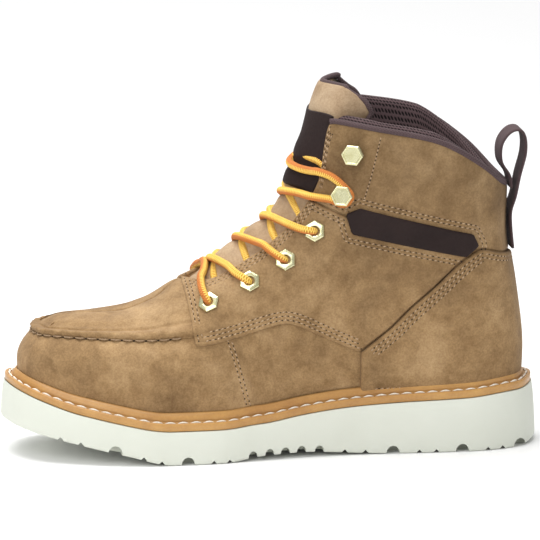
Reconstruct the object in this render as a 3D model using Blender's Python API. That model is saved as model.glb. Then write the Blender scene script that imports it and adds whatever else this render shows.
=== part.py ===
"""Wedge sole work boot: a left boot, empty, standing on its sole.

Metres, +Z up. +X points to the toe and +Y to the boot's outer side. The origin lies on the floor under
the middle of the heel. Heights and widths in the tables are shares of the sizes named first.
"""
import math
from functools import lru_cache

import bmesh
import bpy
from mathutils import Vector

# Driving sizes
LENGTH = 0.308            # outsole, heel back to toe tip
HEEL_BACK = 0.045         # from the origin back to the outsole's heel
BALL_WIDTH = 0.114        # outsole across the ball
SOLE_HEEL = 0.0305        # sole thickness under the heel
TOE_SPRING = 0.020        # how high the sole's tip stands off the floor
SOLE_FLARE = 0.002        # how far the sole spreads from its top to its bottom
SOLE_CHAMFER = 0.0015     # chamfer round the sole's bottom edge
WELT_WIDTH = 0.008        # welt, from its outer edge to the upper
WELT_STEP = 0.0005        # sole top standing out past the welt
WELT_THICK = 0.0045       # flat edge band of the welt
BEAD_RISE = 0.0095        # top of the welt's bead over the sole
BEAD_WIDTH = 0.0028
UPPER_HEIGHT = 0.160      # collar's front corner over the sole
INNER_RISE = 0.006        # how much higher the collar is on the inner side
WALL = 0.0022             # leather and lining of the upper
MOC_RISE = 0.0028         # rolled moc seam over the vamp
QUARTER_THICK = 0.0014
SHAFT_THICK = 0.0010
COUNTER_THICK = 0.0022
PATCH_THICK = 0.0012
INSOLE_THICK = 0.005
TONGUE_THICK = 0.007
COLLAR_THICK = 0.0065
COLLAR_ROLL = 0.0045      # how far the padding stands over the leather edge
LACE = 0.0045             # lace diameter
LACE_ARCH = 0.0018        # how far a lace bows off the tongue or the throat's edge
EYELET_ACROSS = 0.011
EYELET_BORE = 0.0050
EYELET_THICK = 0.0012
BARREL_WALL = 0.0006      # metal of the eyelet's barrel
HOOK_RISE = 0.0062
HOOK_BASE = 0.0010        # hook's foot plate
HOOK_HEAD = 0.0017        # hook's head, from its neck to its face
LOOP_WIDTH = 0.020
LOOP_THICK = 0.0016
GAP = 0.0003              # clearance between pieces that meet

# The boot from toe tip to heel back, a row for each station. along, outer and inner give the outsole's
# outline, as shares of LENGTH and of half of BALL_WIDTH. side, mid and up are three levels of the wall:
# their height over the sole as a share of UPPER_HEIGHT, their reach out from the feather line as a share
# of half of BALL_WIDTH, and their lean from the feather line's x towards the top's. top is the edge of
# throat and collar, or the ridge of the vamp where its half width is 0.
COLUMNS = ("along", "outer", "inner", "side_high", "side_out", "mid_high", "mid_out", "mid_lean",
           "up_high", "up_out", "up_lean", "top_along", "top_high", "top_half")
STATIONS = (
    (1.000, -0.07, 0.07, 0.118, 0.014, 0.199, -0.130, 0.00, 0.239, -0.30, 0.00, 0.873, 0.255, 0.00),
    (0.987, 0.27, 0.42, 0.126, 0.014, 0.205, -0.130, 0.00, 0.248, -0.32, 0.00, 0.851, 0.265, 0.00),
    (0.951, 0.55, 0.67, 0.150, 0.018, 0.226, -0.140, 0.00, 0.270, -0.34, 0.00, 0.818, 0.289, 0.00),
    (0.886, 0.76, 0.87, 0.180, 0.018, 0.259, -0.140, 0.00, 0.304, -0.34, 0.20, 0.773, 0.329, 0.00),
    (0.805, 0.91, 0.98, 0.200, 0.018, 0.288, -0.140, 0.10, 0.351, -0.37, 0.50, 0.721, 0.401, 0.00),
    (0.721, 0.98, 1.00, 0.217, 0.026, 0.316, -0.140, 0.15, 0.417, -0.39, 0.60, 0.669, 0.489, 0.00),
    (0.633, 0.96, 0.94, 0.220, 0.035, 0.332, -0.060, 0.25, 0.444, -0.26, 0.65, 0.623, 0.502, 0.31),
    (0.532, 0.84, 0.80, 0.212, 0.060, 0.344, 0.030, 0.30, 0.488, -0.12, 0.65, 0.542, 0.578, 0.37),
    (0.442, 0.74, 0.70, 0.196, 0.079, 0.359, 0.090, 0.30, 0.546, 0.00, 0.65, 0.464, 0.684, 0.40),
    (0.364, 0.70, 0.66, 0.185, 0.079, 0.372, 0.105, 0.30, 0.610, 0.06, 0.65, 0.419, 0.807, 0.43),
    (0.292, 0.69, 0.66, 0.182, 0.070, 0.389, 0.105, 0.30, 0.695, 0.10, 0.65, 0.396, 1.007, 0.47),
    (0.218, 0.70, 0.68, 0.176, 0.055, 0.389, 0.088, 0.30, 0.676, 0.12, 0.65, 0.308, 0.976, 0.65),
    (0.140, 0.69, 0.68, 0.172, 0.040, 0.384, 0.060, 0.30, 0.647, 0.09, 0.60, 0.205, 0.928, 0.68),
    (0.071, 0.59, 0.59, 0.172, 0.030, 0.378, 0.020, 0.20, 0.597, 0.01, 0.50, 0.120, 0.822, 0.53),
    (0.023, 0.38, 0.38, 0.172, 0.020, 0.372, -0.030, 0.10, 0.553, -0.08, 0.30, 0.075, 0.741, 0.27),
    (0.000, 0.00, 0.00, 0.169, 0.012, 0.369, -0.055, 0.00, 0.544, -0.13, 0.00, 0.058, 0.719, 0.00),
)
LAST = len(STATIONS) - 1
RIDGE_END = 5             # station where the vamp's ridge opens into the throat
CROWN_END = 6.5           # station where the vamp's crown is no longer rounded over
TOE_SWING = 0.07          # how far the ridge's tip swings to the inner side
STEP = 0.5                # stations from one modelled column to the next
ROWS = (0.0, 0.5, 1.0, 1.5, 2.0, 2.35, 2.7, 3.0, 3.5, 4.0)

# Sole from the side: share of LENGTH, underside as a share of TOE_SPRING, thickness as one of SOLE_HEEL
SOLE = (
    (0.000, 0.12, 1.06),
    (0.049, 0.00, 1.07),
    (0.146, 0.00, 1.00),
    (0.276, 0.00, 0.95),
    (0.360, 0.06, 0.86),
    (0.458, 0.15, 0.69),
    (0.536, 0.12, 0.60),
    (0.605, 0.00, 0.62),
    (0.700, 0.00, 0.62),
    (0.782, 0.26, 0.56),
    (0.867, 0.54, 0.56),
    (0.942, 0.79, 0.63),
    (1.000, 1.00, 0.70),
)


# Points over the sole where eyelets and hooks sit: station and row on the wall, from the toe up
EYELETS = ((6.12, 2.88), (6.96, 3.09), (7.7, 3.19), (8.55, 3.33))
HOOKS = ((9.77, 3.23), (10.4, 3.67))

# Crest of the tongue: station, share of LENGTH, share of UPPER_HEIGHT over the heel's sole. Past station
# 10, at the collar's front corner, the tongue stands free and rows only count on.
TONGUE_CREST = (
    (5.0, 0.664, 0.400),
    (6.0, 0.614, 0.469),
    (7.0, 0.558, 0.556),
    (8.0, 0.482, 0.678),
    (9.0, 0.458, 0.806),
    (10.0, 0.427, 1.000),
    (11.0, 0.417, 1.062),
    (12.0, 0.4075, 1.109),
    (12.5, 0.401, 1.125),
)
TONGUE_FREE = 10.0        # station where the tongue leaves the collar
TONGUE_NARROW = 0.06      # how much narrower each free row is
TONGUE_TIP = 0.5          # thickness of the tongue's last row, as a share of the others
# Wings of the tongue, which lie back inside the collar: station, share of LENGTH, half width as a share
# of half of BALL_WIDTH, share of UPPER_HEIGHT over the heel's sole
TONGUE_WING = (
    (10.0, 0.335, 0.30, 0.960),
    (11.0, 0.318, 0.37, 1.020),
    (12.0, 0.332, 0.35, 1.070),
    (12.5, 0.362, 0.26, 1.105),
)

# Panel outlines from the side: share of LENGTH, share of UPPER_HEIGHT over the heel's sole
QUARTER_EDGE = (
    (0.675, 0.530), (0.664, 0.378), (0.656, 0.222), (0.633, 0.225), (0.575, 0.250), (0.516, 0.281),
    (0.487, 0.290), (0.461, 0.278), (0.406, 0.228), (0.349, 0.178), (0.291, 0.263), (0.257, 0.328),
    (0.206, 0.411), (0.169, 0.477), (0.148, 0.509), (0.146, 0.523), (0.373, 0.668), (0.445, 0.722),
    (0.568, 0.747),
)
SHAFT_EDGE = (
    (0.373, 0.674), (0.447, 0.729), (0.503, 0.747), (0.503, 1.200), (-0.050, 1.200), (-0.050, 0.503),
    (0.050, 0.500), (0.110, 0.531), (0.125, 0.531), (0.146, 0.529),
)
COUNTER_EDGE = (
    (0.344, 0.175), (0.289, 0.258), (0.255, 0.322), (0.2045, 0.406), (0.167, 0.472), (0.146, 0.503),
    (0.125, 0.526), (0.110, 0.526), (0.052, 0.495), (-0.050, 0.490),
)
PATCH_EDGE = (
    (0.373, 0.677), (0.347, 0.697), (0.136, 0.589), (0.125, 0.544), (0.149, 0.508), (0.362, 0.604),
)

# Notches in the sole's edge: kind and places as shares of LENGTH. Each kind has its number of sides, half
# width, depth and turn.
NOTCHES = (
    ("block", (0.042, 0.156, 0.286, 0.675, 0.808)),
    ("dome", (0.425, 0.459, 0.490, 0.520, 0.552)),
    ("vee", (0.078, 0.107, 0.205, 0.237, 0.338, 0.377, 0.597, 0.627, 0.724, 0.757, 0.870, 0.906)),
)
NOTCH_KINDS = {
    "block": (4, 0.0040, 0.0048, 0.5),
    "dome": (8, 0.0028, 0.0040, 0.0),
    "vee": (4, 0.0020, 0.0022, 0.0),
}
NOTCH_REACH = 0.010       # how far a notch runs in from the sole's edge

# Side view of the pull loop: webbing from inside its start at the collar, over its top and down the back,
# as x and height from the collar's back edge
LOOP_START = (
    (-0.0026, -0.001), (-0.0015, 0.006), (0.0032, 0.014), (0.0030, 0.024), (-0.0020, 0.0310),
    (-0.0078, 0.0320), (-0.0106, 0.0270), (-0.0106, 0.0180), (-0.0075, 0.0060), (-0.0050, -0.0060),
)
LOOP_TAIL = 0.0365        # webbing running down the back from the collar's edge


def line_through(points, x):
    """Height at x of a smooth line through (x, height) points, which never swings past them."""
    last = len(points) - 1
    x = min(max(x, points[0][0]), points[last][0])
    i = max(k for k in range(last) if points[k][0] <= x)

    def rise(k):
        k = min(max(k, 0), last - 1)
        return (points[k + 1][1] - points[k][1]) / (points[k + 1][0] - points[k][0])

    def slope(k):
        before, after = rise(k - 1), rise(k)
        return 0.0 if before * after <= 0 else 2 * before * after / (before + after)

    width = points[i + 1][0] - points[i][0]
    f = (x - points[i][0]) / width
    return (points[i][1] * (1 + 2 * f) * (1 - f) ** 2 + points[i + 1][1] * f * f * (3 - 2 * f)
            + width * (slope(i) * f * (1 - f) ** 2 - slope(i + 1) * f * f * (1 - f)))


def x_at(share):
    return share * LENGTH - HEEL_BACK


def sole_bottom(x):
    return TOE_SPRING * line_through([(x_at(row[0]), row[1]) for row in SOLE], x)


def sole_top(x):
    return sole_bottom(x) + SOLE_HEEL * line_through([(x_at(row[0]), row[2]) for row in SOLE], x)


@lru_cache(maxsize=None)
def column(name, side):
    """One column of the table as (station, value) points. It runs one station past both ends, on the
    boot's other side, and widths carry the side's sign."""
    pick = {"half": ("outer", "inner")[side < 0]}.get(name, name)
    other = {"half": ("outer", "inner")[side > 0]}.get(name, name)
    signed = name in ("half", "top_half")
    values = [row[COLUMNS.index(pick)] * (side if signed else 1) for row in STATIONS]
    past = [row[COLUMNS.index(other)] * (-side if signed else 1) for row in STATIONS]
    return [(-1, past[1])] + list(enumerate(values)) + [(LAST + 1, past[LAST - 1])]


def value(name, side, t):
    return line_through(column(name, side), t)


def turn(side, t):
    """A station past the toe tip or the heel back lies on the boot's other side."""
    if t < 0:
        return -side, -t
    if t > LAST:
        return -side, 2 * LAST - t
    return side, t


@lru_cache(maxsize=None)
def outline(side, t):
    side, t = turn(side, t)
    return Vector((x_at(value("along", side, t)), value("half", side, t) * BALL_WIDTH / 2, 0))


@lru_cache(maxsize=None)
def outward(side, t):
    """Level direction out of the outline."""
    along = outline(side, t + 0.05) - outline(side, t - 0.05)
    return Vector((along.y, -along.x, 0)).normalized() * side


def inset(side, t, depth):
    """Point of the outline moved inward, on the sole's top."""
    point = outline(side, t) - outward(side, t) * depth
    point.z = sole_top(point.x)
    return point


FEATHER = SOLE_FLARE + WELT_STEP + WELT_WIDTH


def ridge_swing(x):
    """The ridge's distance to the inner side, growing towards the toe."""
    start, end = x_at(STATIONS[RIDGE_END][11]), x_at(STATIONS[0][11])
    return -TOE_SWING * BALL_WIDTH / 2 * min(max((x - start) / (end - start), 0), 1)


@lru_cache(maxsize=None)
def levels(side, t):
    """The wall's five points at a station, from the feather line to the top edge."""
    base = inset(side, t, FEATHER)
    out = outward(side, t)
    top_x = x_at(value("top_along", side, t))
    found = [base + Vector((0, 0, GAP))]
    for level in ("side", "mid", "up"):
        lean = 0.0 if level == "side" else value(level + "_lean", side, t)
        point = base + out * value(level + "_out", side, t) * BALL_WIDTH / 2
        point.x += (top_x - base.x) * lean
        point.z = base.z + value(level + "_high", side, t) * UPPER_HEIGHT
        found.append(point)
    half = 0.0 if t <= RIDGE_END else value("top_half", side, t) * BALL_WIDTH / 2
    top = Vector((top_x, half + ridge_swing(top_x), base.z + value("top_high", side, t) * UPPER_HEIGHT))
    if side < 0:
        top.z += INNER_RISE * min(max((t - 9) / 2, 0), 1) * abs(value("top_half", side, t)) / 0.68
    return found + [top]


@lru_cache(maxsize=None)
def wall(side, t, v):
    """Point of the wall at a station and a row, 0 at the feather line and 4 at the top edge."""
    side, t = turn(side, t)
    points = levels(side, t)
    i = min(int(v), 3)
    f = v - i
    a, b = points[i], points[i + 1]
    before = (b - points[i - 1]) / 2 if i else b - a
    after = (points[i + 2] - a) / 2 if i < 3 else crown_slope(b - a, t)
    return (a * (1 + 2 * f) * (1 - f) ** 2 + b * f * f * (3 - 2 * f)
            + before * f * (1 - f) ** 2 - after * f * f * (1 - f))


def crown_slope(rise, t):
    """Direction in which the wall reaches its top: level over the vamp, so that its two sides meet in one
    round crown, and straight on at the throat and the collar."""
    level = Vector((0, rise.y, 0)).normalized() * rise.length
    share = min(max((CROWN_END - t) / (CROWN_END - RIDGE_END), 0), 1)
    return rise.lerp(level, share)


@lru_cache(maxsize=None)
def normal(side, t, v):
    small = 0.02
    along = wall(side, t + small, v) - wall(side, t - small, v)
    up = wall(side, t, min(v + small, 4.0)) - wall(side, t, max(v - small, 0.0))
    out = along.cross(up).normalized() * side
    if v >= 4 and t <= RIDGE_END:
        out.y = 0
        out.normalize()
    return out


def lifted(side, t, v, lift):
    """Point of the wall moved out along its normal."""
    side, t = turn(side, t)
    return wall(side, t, v) + normal(side, t, v) * lift


def moc_bump(t, v):
    """Height of the rolled moc seam, which fades out under the quarter's front edge."""
    if not 2.0 < v < 2.7:
        return 0.0
    fade = min(max((RIDGE_END + STEP - t) / STEP, 0), 1)
    return MOC_RISE * fade * math.sin(math.pi * (v - 2.0) / 0.7)


def skin(name, columns, rows, place, around=False, over=False, leave_out=None):
    """Closed solid from a grid of columns x rows whose corners place(i, j) puts where they belong. It may
    close on itself around its columns and over its rows. leave_out(i, j) names faces it does without.
    The second half of the rows comes back down the first, so its quads are split along the other
    diagonal: then a shell's two faces, and its neighbour's, run parallel."""
    bm = bmesh.new()
    bmesh.ops.create_grid(bm, x_segments=columns, y_segments=rows, size=1)

    def cell(co, shift):
        return (round((co.x + 1) / 2 * columns - shift), round((co.y + 1) / 2 * rows - shift))

    if leave_out:
        unwanted = [face for face in bm.faces if leave_out(*cell(face.calc_center_median(), 0.5))]
        bmesh.ops.delete(bm, geom=unwanted, context="FACES")
    back = [face for face in bm.faces if cell(face.calc_center_median(), 0.5)[1] >= rows // 2]
    forth = [face for face in bm.faces if cell(face.calc_center_median(), 0.5)[1] < rows // 2]
    bmesh.ops.triangulate(bm, faces=forth, quad_method="FIXED")
    bmesh.ops.triangulate(bm, faces=back, quad_method="ALTERNATE")
    for vert in bm.verts:
        i, j = cell(vert.co, 0)
        vert.co = place(i % columns if around else i, j % rows if over else j)
    bmesh.ops.remove_doubles(bm, verts=bm.verts, dist=0.00001)
    bmesh.ops.dissolve_degenerate(bm, edges=bm.edges, dist=0.000001)
    bmesh.ops.holes_fill(bm, edges=[edge for edge in bm.edges if edge.is_boundary], sides=0)
    bmesh.ops.triangulate(bm, faces=[face for face in bm.faces if len(face.verts) > 3])
    bmesh.ops.recalc_face_normals(bm, faces=bm.faces)
    return finish_mesh(name, bm)


def finish_mesh(name, bm):
    mesh = bpy.data.meshes.new(name)
    bm.to_mesh(mesh)
    bm.free()
    thing = bpy.data.objects.new(name, mesh)
    parts.objects.link(thing)
    return thing


def loop_columns(first=0.0):
    """(side, station) columns from one side's first station over the heel back to the other's."""
    count = round((LAST - first) / STEP)
    outer = [(1, first + k * STEP) for k in range(count + 1)]
    return outer + [(-1, t) for _, t in reversed(outer[:-1])]


def material(thing, colour, roughness, metallic=0.0):
    made = bpy.data.materials.get(colour[0]) or bpy.data.materials.new(colour[0])
    made.use_nodes = True
    shader = made.node_tree.nodes["Principled BSDF"]
    shader.inputs["Base Color"].default_value = (*colour[1], 1)
    shader.inputs["Roughness"].default_value = roughness
    shader.inputs["Metallic"].default_value = metallic
    thing.data.materials.append(made)
    return thing


LEATHER = ("taupe nubuck", (0.31, 0.20, 0.11))
DARK = ("plum brown textile", (0.06, 0.038, 0.040))
CREAM = ("cream sole", (0.83, 0.83, 0.75))
CARAMEL = ("caramel welt", (0.52, 0.26, 0.07))
GOLD = ("pale gold metal", (0.76, 0.74, 0.45))
YELLOW = ("yellow lace", (0.75, 0.42, 0.06))
BOARD = ("insole board", (0.35, 0.26, 0.18))


def sole_section(side, t):
    """Edge of the sole from its top to its underside, on one side."""
    top = inset(side, t, SOLE_FLARE)
    middle = inset(side, t, SOLE_FLARE / 4)
    low = outline(side, t)
    under = low - outward(side, t) * SOLE_CHAMFER
    middle.z = (sole_bottom(low.x) + sole_top(low.x)) / 2
    low = Vector((low.x, low.y, sole_bottom(low.x) + SOLE_CHAMFER))
    under.z = sole_bottom(under.x)
    return [top, middle, low, under]


def make_sole():
    count = round(LAST / STEP)

    def place(i, j):
        t = i * STEP
        return (sole_section(1, t) + sole_section(-1, t)[::-1])[j]

    sole = skin("wedge_sole", count, 8, place, over=True)
    return material(sole, CREAM, 0.6)


def make_upper():
    columns = loop_columns()
    around = columns[:-1]
    wall_rows = [(v, 0.0) for v in ROWS] + [(v, -WALL) for v in reversed(ROWS)]

    def place(i, j):
        side, t = around[i]
        v, depth = wall_rows[j]
        bump = moc_bump(t, v) if depth == 0 else 0.0
        return lifted(side, t, v, depth + bump)

    def leave_out(i, j):
        t = max(around[i][1], around[(i + 1) % len(around)][1])
        return j == len(ROWS) - 1 and t <= RIDGE_END

    upper = skin("upper", len(around), len(wall_rows), place, True, True, leave_out)
    return material(upper, LEATHER, 0.85)


def cut(thing, cutter, operation="DIFFERENCE"):
    """use_self lets a shell that folds on itself at a tight heel still be cut."""
    change = thing.modifiers.new(operation.lower(), "BOOLEAN")
    change.operation = operation
    change.object = cutter
    change.solver = "EXACT"
    change.use_self = operation == "INTERSECT"
    return thing


def as_cutter(thing):
    parts.objects.unlink(thing)
    cutters.objects.link(thing)
    thing.hide_render = True
    thing.display_type = "WIRE"
    return thing


def height_at(share):
    return SOLE_HEEL + share * UPPER_HEIGHT


def station_at(side, x):
    """Station where the outline reaches a given x."""
    low, high = 0.0, float(LAST)
    for _ in range(30):
        middle = (low + high) / 2
        if outline(side, middle).x > x:
            low = middle
        else:
            high = middle
    return low


def row_at(side, t, rise):
    """Row of the wall at a height over the sole."""
    low, high = 0.0, 4.0
    for _ in range(30):
        middle = (low + high) / 2
        if wall(side, t, middle).z - wall(side, t, 0.0).z < rise:
            low = middle
        else:
            high = middle
    return low


def make_notches():
    """All notches of the sole's edge as one cutter."""
    bm = bmesh.new()
    for kind, places in NOTCHES:
        sides, half_width, depth, twist = NOTCH_KINDS[kind]
        for place in places:
            for side in (1, -1):
                edge = outline(side, station_at(side, x_at(place)))
                made = bmesh.ops.create_cone(
                    bm, cap_ends=True, segments=sides, radius1=1, radius2=1, depth=1)
                swell = math.sqrt(2) if kind == "block" else 1
                for vert in made["verts"]:
                    angle = math.atan2(vert.co.y, vert.co.x) + math.pi / sides * 2 * twist
                    reach = vert.co.z * (NOTCH_REACH * 2)
                    vert.co = Vector((edge.x + math.cos(angle) * half_width * swell, edge.y + reach,
                                      sole_bottom(edge.x) + math.sin(angle) * depth * swell))
    bmesh.ops.recalc_face_normals(bm, faces=bm.faces)
    return as_cutter(finish_mesh("edge_notches", bm))


def make_welt():
    columns = loop_columns()[:-1]
    edge = SOLE_FLARE + WELT_STEP

    bead = (
        (WELT_THICK + GAP, BEAD_WIDTH),
        (BEAD_RISE * 0.8, BEAD_WIDTH),
        (BEAD_RISE, BEAD_WIDTH * 0.4),
        (BEAD_RISE * 0.85, 0.0),
        (0.0, 0.0),
    )

    def place(i, j):
        side, t = columns[i]
        if j < 2:
            point = inset(side, t, edge)
            point.z += GAP + WELT_THICK * j
            return point
        rise, lift = bead[j - 2]
        return lifted(side, t, row_at(side, t, rise), GAP + lift)

    return material(skin("welt", len(columns), 7, place, True, True), CARAMEL, 0.5)


def make_insole():
    depth = FEATHER + WALL + 2 * GAP

    def place(i, j):
        side = (1, 1, -1, -1)[j]
        point = inset(side, i * STEP, depth)
        point.z += GAP + (INSOLE_THICK, 0, 0, INSOLE_THICK)[j]
        return point

    return material(skin("insole", round(LAST / STEP), 4, place, over=True), BOARD, 0.9)


def make_panel(name, edge, thickness, first, sides, colour=LEATHER, roughness=0.85):
    """Panel of leather laid on the wall: a shell cut out by a prism seen from the side."""
    columns = loop_columns(RIDGE_END + STEP)
    shell_rows = [(v, first + thickness) for v in ROWS] + [(v, first) for v in reversed(ROWS)]

    def place(i, j):
        side, t = columns[i]
        v, lift = shell_rows[j]
        return lifted(side, t, v, lift)

    panel = skin(name, len(columns) - 1, len(shell_rows), place, over=True)
    cut(panel, make_prism(name + "_outline", edge, sides), "INTERSECT")
    return material(panel, colour, roughness)


def make_prism(name, edge, sides):
    """Prism across the boot with a side view outline. sides gives where it starts and ends over y."""
    bm = bmesh.new()
    made = bmesh.ops.create_circle(bm, cap_ends=True, segments=len(edge), radius=1)
    for vert, (x, z) in zip(made["verts"], edge):
        vert.co = Vector((x, sides[0], z))
    grown = bmesh.ops.extrude_face_region(bm, geom=bm.faces[:])
    moved = [item for item in grown["geom"] if isinstance(item, bmesh.types.BMVert)]
    bmesh.ops.translate(bm, verts=moved, vec=(0, sides[1] - sides[0], 0))
    bmesh.ops.recalc_face_normals(bm, faces=bm.faces)
    return as_cutter(finish_mesh(name, bm))


def side_view(edge):
    return [(x_at(along), height_at(high)) for along, high in edge]


def bead_line(start, end, count=6):
    """Side view points just over the welt's bead."""
    places = [start + (end - start) * k / (count - 1) for k in range(count)]
    return [(x, sole_top(x) + BEAD_RISE + 3 * GAP) for x in places]


def make_panels():
    middle, far = 0.002, BALL_WIDTH
    quarter = side_view(QUARTER_EDGE)
    made = [
        make_panel("quarter_outer", quarter, QUARTER_THICK, GAP, (middle, far)),
        make_panel("quarter_inner", quarter, QUARTER_THICK, GAP, (-far, -middle)),
    ]
    make_panel("shaft_panel", side_view(SHAFT_EDGE), SHAFT_THICK, GAP, (-far, far))
    counter = side_view(COUNTER_EDGE)
    counter += bead_line(counter[-1][0], counter[0][0])
    make_panel("counter", counter, COUNTER_THICK, GAP, (-far, far))
    over_quarter = 2 * GAP + QUARTER_THICK
    make_panel("side_patch", side_view(PATCH_EDGE), PATCH_THICK, over_quarter, (middle, far), DARK, 0.6)
    return made


def crest(s):
    """Highest line of the tongue."""
    x = x_at(line_through([(row[0], row[1]) for row in TONGUE_CREST], s))
    z = height_at(line_through([(row[0], row[2]) for row in TONGUE_CREST], s))
    return Vector((x, ridge_swing(x), z))


def wing(side, s):
    """Rear edge of the tongue's free part."""
    along, half, high = (line_through([(row[0], row[k]) for row in TONGUE_WING], s) for k in (1, 2, 3))
    return Vector((x_at(along), side * half * BALL_WIDTH / 2, height_at(high)))


@lru_cache(maxsize=None)
def tongue_rib(s):
    """The tongue's section at a station: flank, edge, crest, edge and flank, from inner to outer side."""
    t = min(s, TONGUE_FREE)
    under = -(WALL + 4 * GAP)
    edge_row, flank_row = (3.7, 3.3) if t < RIDGE_END + STEP else (4.0, 3.5)
    rib = [lifted(-1, t, flank_row, under), lifted(-1, t, edge_row, under), crest(t),
           lifted(1, t, edge_row, under), lifted(1, t, flank_row, under)]
    if t <= RIDGE_END:
        rib[2] = lifted(1, t, 4.0, under)
    if s > TONGUE_FREE:
        shift = crest(s) - crest(TONGUE_FREE)
        rib = [point + shift for point in rib]
        for point in rib:
            point.y *= 1 - TONGUE_NARROW * (s - TONGUE_FREE) ** 2
    back = min(max(s - TONGUE_FREE + STEP / 2, 0), 1)
    rib[0] = rib[0].lerp(wing(-1, s), back)
    rib[4] = rib[4].lerp(wing(1, s), back)
    return rib


def tongue_face(s, w):
    """Point of the tongue's face: w runs from -2 on the inner side to 2 on the outer side."""
    rib = tongue_rib(s)
    i = min(max(int(math.floor(w)) + 2, 0), 3)
    f = w + 2 - i
    a, b = rib[i], rib[i + 1]
    before = (b - rib[i - 1]) / 2 if i else b - a
    after = (rib[i + 2] - a) / 2 if i < 3 else b - a
    return (a * (1 + 2 * f) * (1 - f) ** 2 + b * f * f * (3 - 2 * f)
            + before * f * (1 - f) ** 2 - after * f * f * (1 - f))


def on_tongue(s, w, lift):
    last = TONGUE_CREST[-1][0]
    up = tongue_face(min(s + 0.1, last), w) - tongue_face(s - 0.1, w)
    across = tongue_face(s, min(w + 0.1, 2)) - tongue_face(s, max(w - 0.1, -2))
    return tongue_face(s, w) + across.cross(up).normalized() * lift


def make_tongue():
    first, last = TONGUE_CREST[0][0], TONGUE_CREST[-1][0]
    count = round((last - first) / STEP)
    ribs = [-2, -1, -0.5, 0, 0.5, 1, 2]
    ring = [(w, 0.0) for w in ribs] + [(w, -TONGUE_THICK) for w in reversed(ribs)]

    def place(i, j):
        w, lift = ring[j]
        return on_tongue(first + i * STEP, w, lift * (TONGUE_TIP if i == count else 1))

    return material(skin("tongue", count, len(ring), place, over=True), LEATHER, 0.9)


def make_collar():
    """Padding inside the collar, rolled over its edge."""
    columns = loop_columns(TONGUE_FREE + STEP)
    near = WALL + GAP
    far = near + COLLAR_THICK
    ring = (
        (3.0, near, 0), (3.5, near, 0), (4.0, near, 0), (4.0, near + COLLAR_THICK * 0.03, 0.7),
        (4.0, near + COLLAR_THICK / 2, 1), (4.0, far, 0.3), (3.5, far, 0),
        (3.0, near + COLLAR_THICK * 0.3, 0),
    )

    def place(i, j):
        side, t = columns[i]
        v, depth, rise = ring[j]
        top = (wall(side, t, 4.0) - wall(side, t, 3.9)).normalized()
        return lifted(side, t, v, -depth) + top * rise * COLLAR_ROLL

    return material(skin("collar_lining", len(columns) - 1, len(ring), place, over=True), DARK, 0.95)


def make_loop():
    back = wall(1, float(LAST), 4.0)
    points = [Vector((back.x + x, 0, back.z + z)) for x, z in LOOP_START]
    over_sole = back.z - wall(1, float(LAST), 0.0).z
    for share in (0.4, 0.65, 1.0):
        row = row_at(1, float(LAST), over_sole - LOOP_TAIL * share)
        points.append(lifted(1, float(LAST), row, SHAFT_THICK + 3 * GAP + LOOP_THICK / 2))

    def place(i, j):
        along = points[min(i + 1, len(points) - 1)] - points[max(i - 1, 0)]
        out = Vector((-along.z, 0, along.x)).normalized() * LOOP_THICK / 2
        return points[i] + out * (1, 1, -1, -1)[j] + Vector((0, LOOP_WIDTH / 2 * (1, -1, -1, 1)[j], 0))

    return material(skin("pull_loop", len(points) - 1, 4, place, over=True), DARK, 0.9)


def seat(side, t, v, lift):
    """Point over the flat face between the modelled columns and rows round a place on the wall."""
    left = math.floor(t / STEP) * STEP
    low = max(row for row in ROWS[:-1] if row <= v)
    high = ROWS[ROWS.index(low) + 1]
    ends = [lifted(side, column, low, lift).lerp(lifted(side, column, high, lift), (v - low) / (high - low))
            for column in (left, left + STEP)]
    return ends[0].lerp(ends[1], (t - left) / STEP)


def make_stud(name, side, t, v, centre, profile, closed):
    """Six sided metal piece on the wall, turned from (radius, height) points over its centre."""
    axis = normal(side, t, v)
    right = Vector((0, 0, 1)).cross(axis).normalized()
    up = axis.cross(right)

    def place(i, j):
        angle = math.pi / 3 * i
        radius, height = profile[j]
        return centre + (right * math.cos(angle) + up * math.sin(angle)) * radius + axis * height

    rows = len(profile) if closed else len(profile) - 1
    return material(skin(name, 6, rows, place, True, closed), GOLD, 0.3, 1.0)


def make_studs():
    bore, rim = EYELET_BORE / 2, EYELET_ACROSS / 2
    barrel = bore + BARREL_WALL
    under = -(QUARTER_THICK + WALL + 2 * GAP)
    eyelet = (
        (bore, under), (bore, EYELET_THICK), (rim, EYELET_THICK * 0.6), (rim, 0), (barrel, 0),
        (barrel, under),
    )
    neck = HOOK_RISE - HOOK_HEAD
    dish = HOOK_RISE - HOOK_HEAD * 0.6
    hook = (
        (0, 0), (rim * 0.8, 0), (rim * 0.8, HOOK_BASE), (bore * 0.9, HOOK_BASE), (bore * 0.9, neck),
        (rim, neck), (rim, HOOK_RISE - HOOK_HEAD * 0.2), (bore, HOOK_RISE), (bore * 0.8, dish), (0, dish),
    )
    for side, where in ((1, "outer"), (-1, "inner")):
        for k, (t, v) in enumerate(EYELETS):
            centre = lifted(side, t, v, QUARTER_THICK + 3 * GAP)
            make_stud(f"eyelet_{where}_{k + 1}", side, t, v, centre, eyelet, True)
        for k, (t, v) in enumerate(HOOKS):
            centre = seat(side, t, v, SHAFT_THICK + 3 * GAP)
            make_stud(f"hook_{where}_{k + 1}", side, t, v, centre, hook, False)


def make_holes():
    """Holes for the eyelets' barrels, through quarter and upper, as one cutter."""
    bm = bmesh.new()
    radius = EYELET_BORE / 2 + BARREL_WALL + 2 * GAP
    for side in (1, -1):
        for t, v in EYELETS:
            turned = normal(side, t, v).to_track_quat("Z", "Y").to_matrix().to_4x4()
            turned.translation = lifted(side, t, v, 0)
            bmesh.ops.create_cone(bm, cap_ends=True, segments=8, radius1=radius, radius2=radius,
                                  depth=0.02, matrix=turned)
    return as_cutter(finish_mesh("eyelet_holes", bm))


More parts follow.
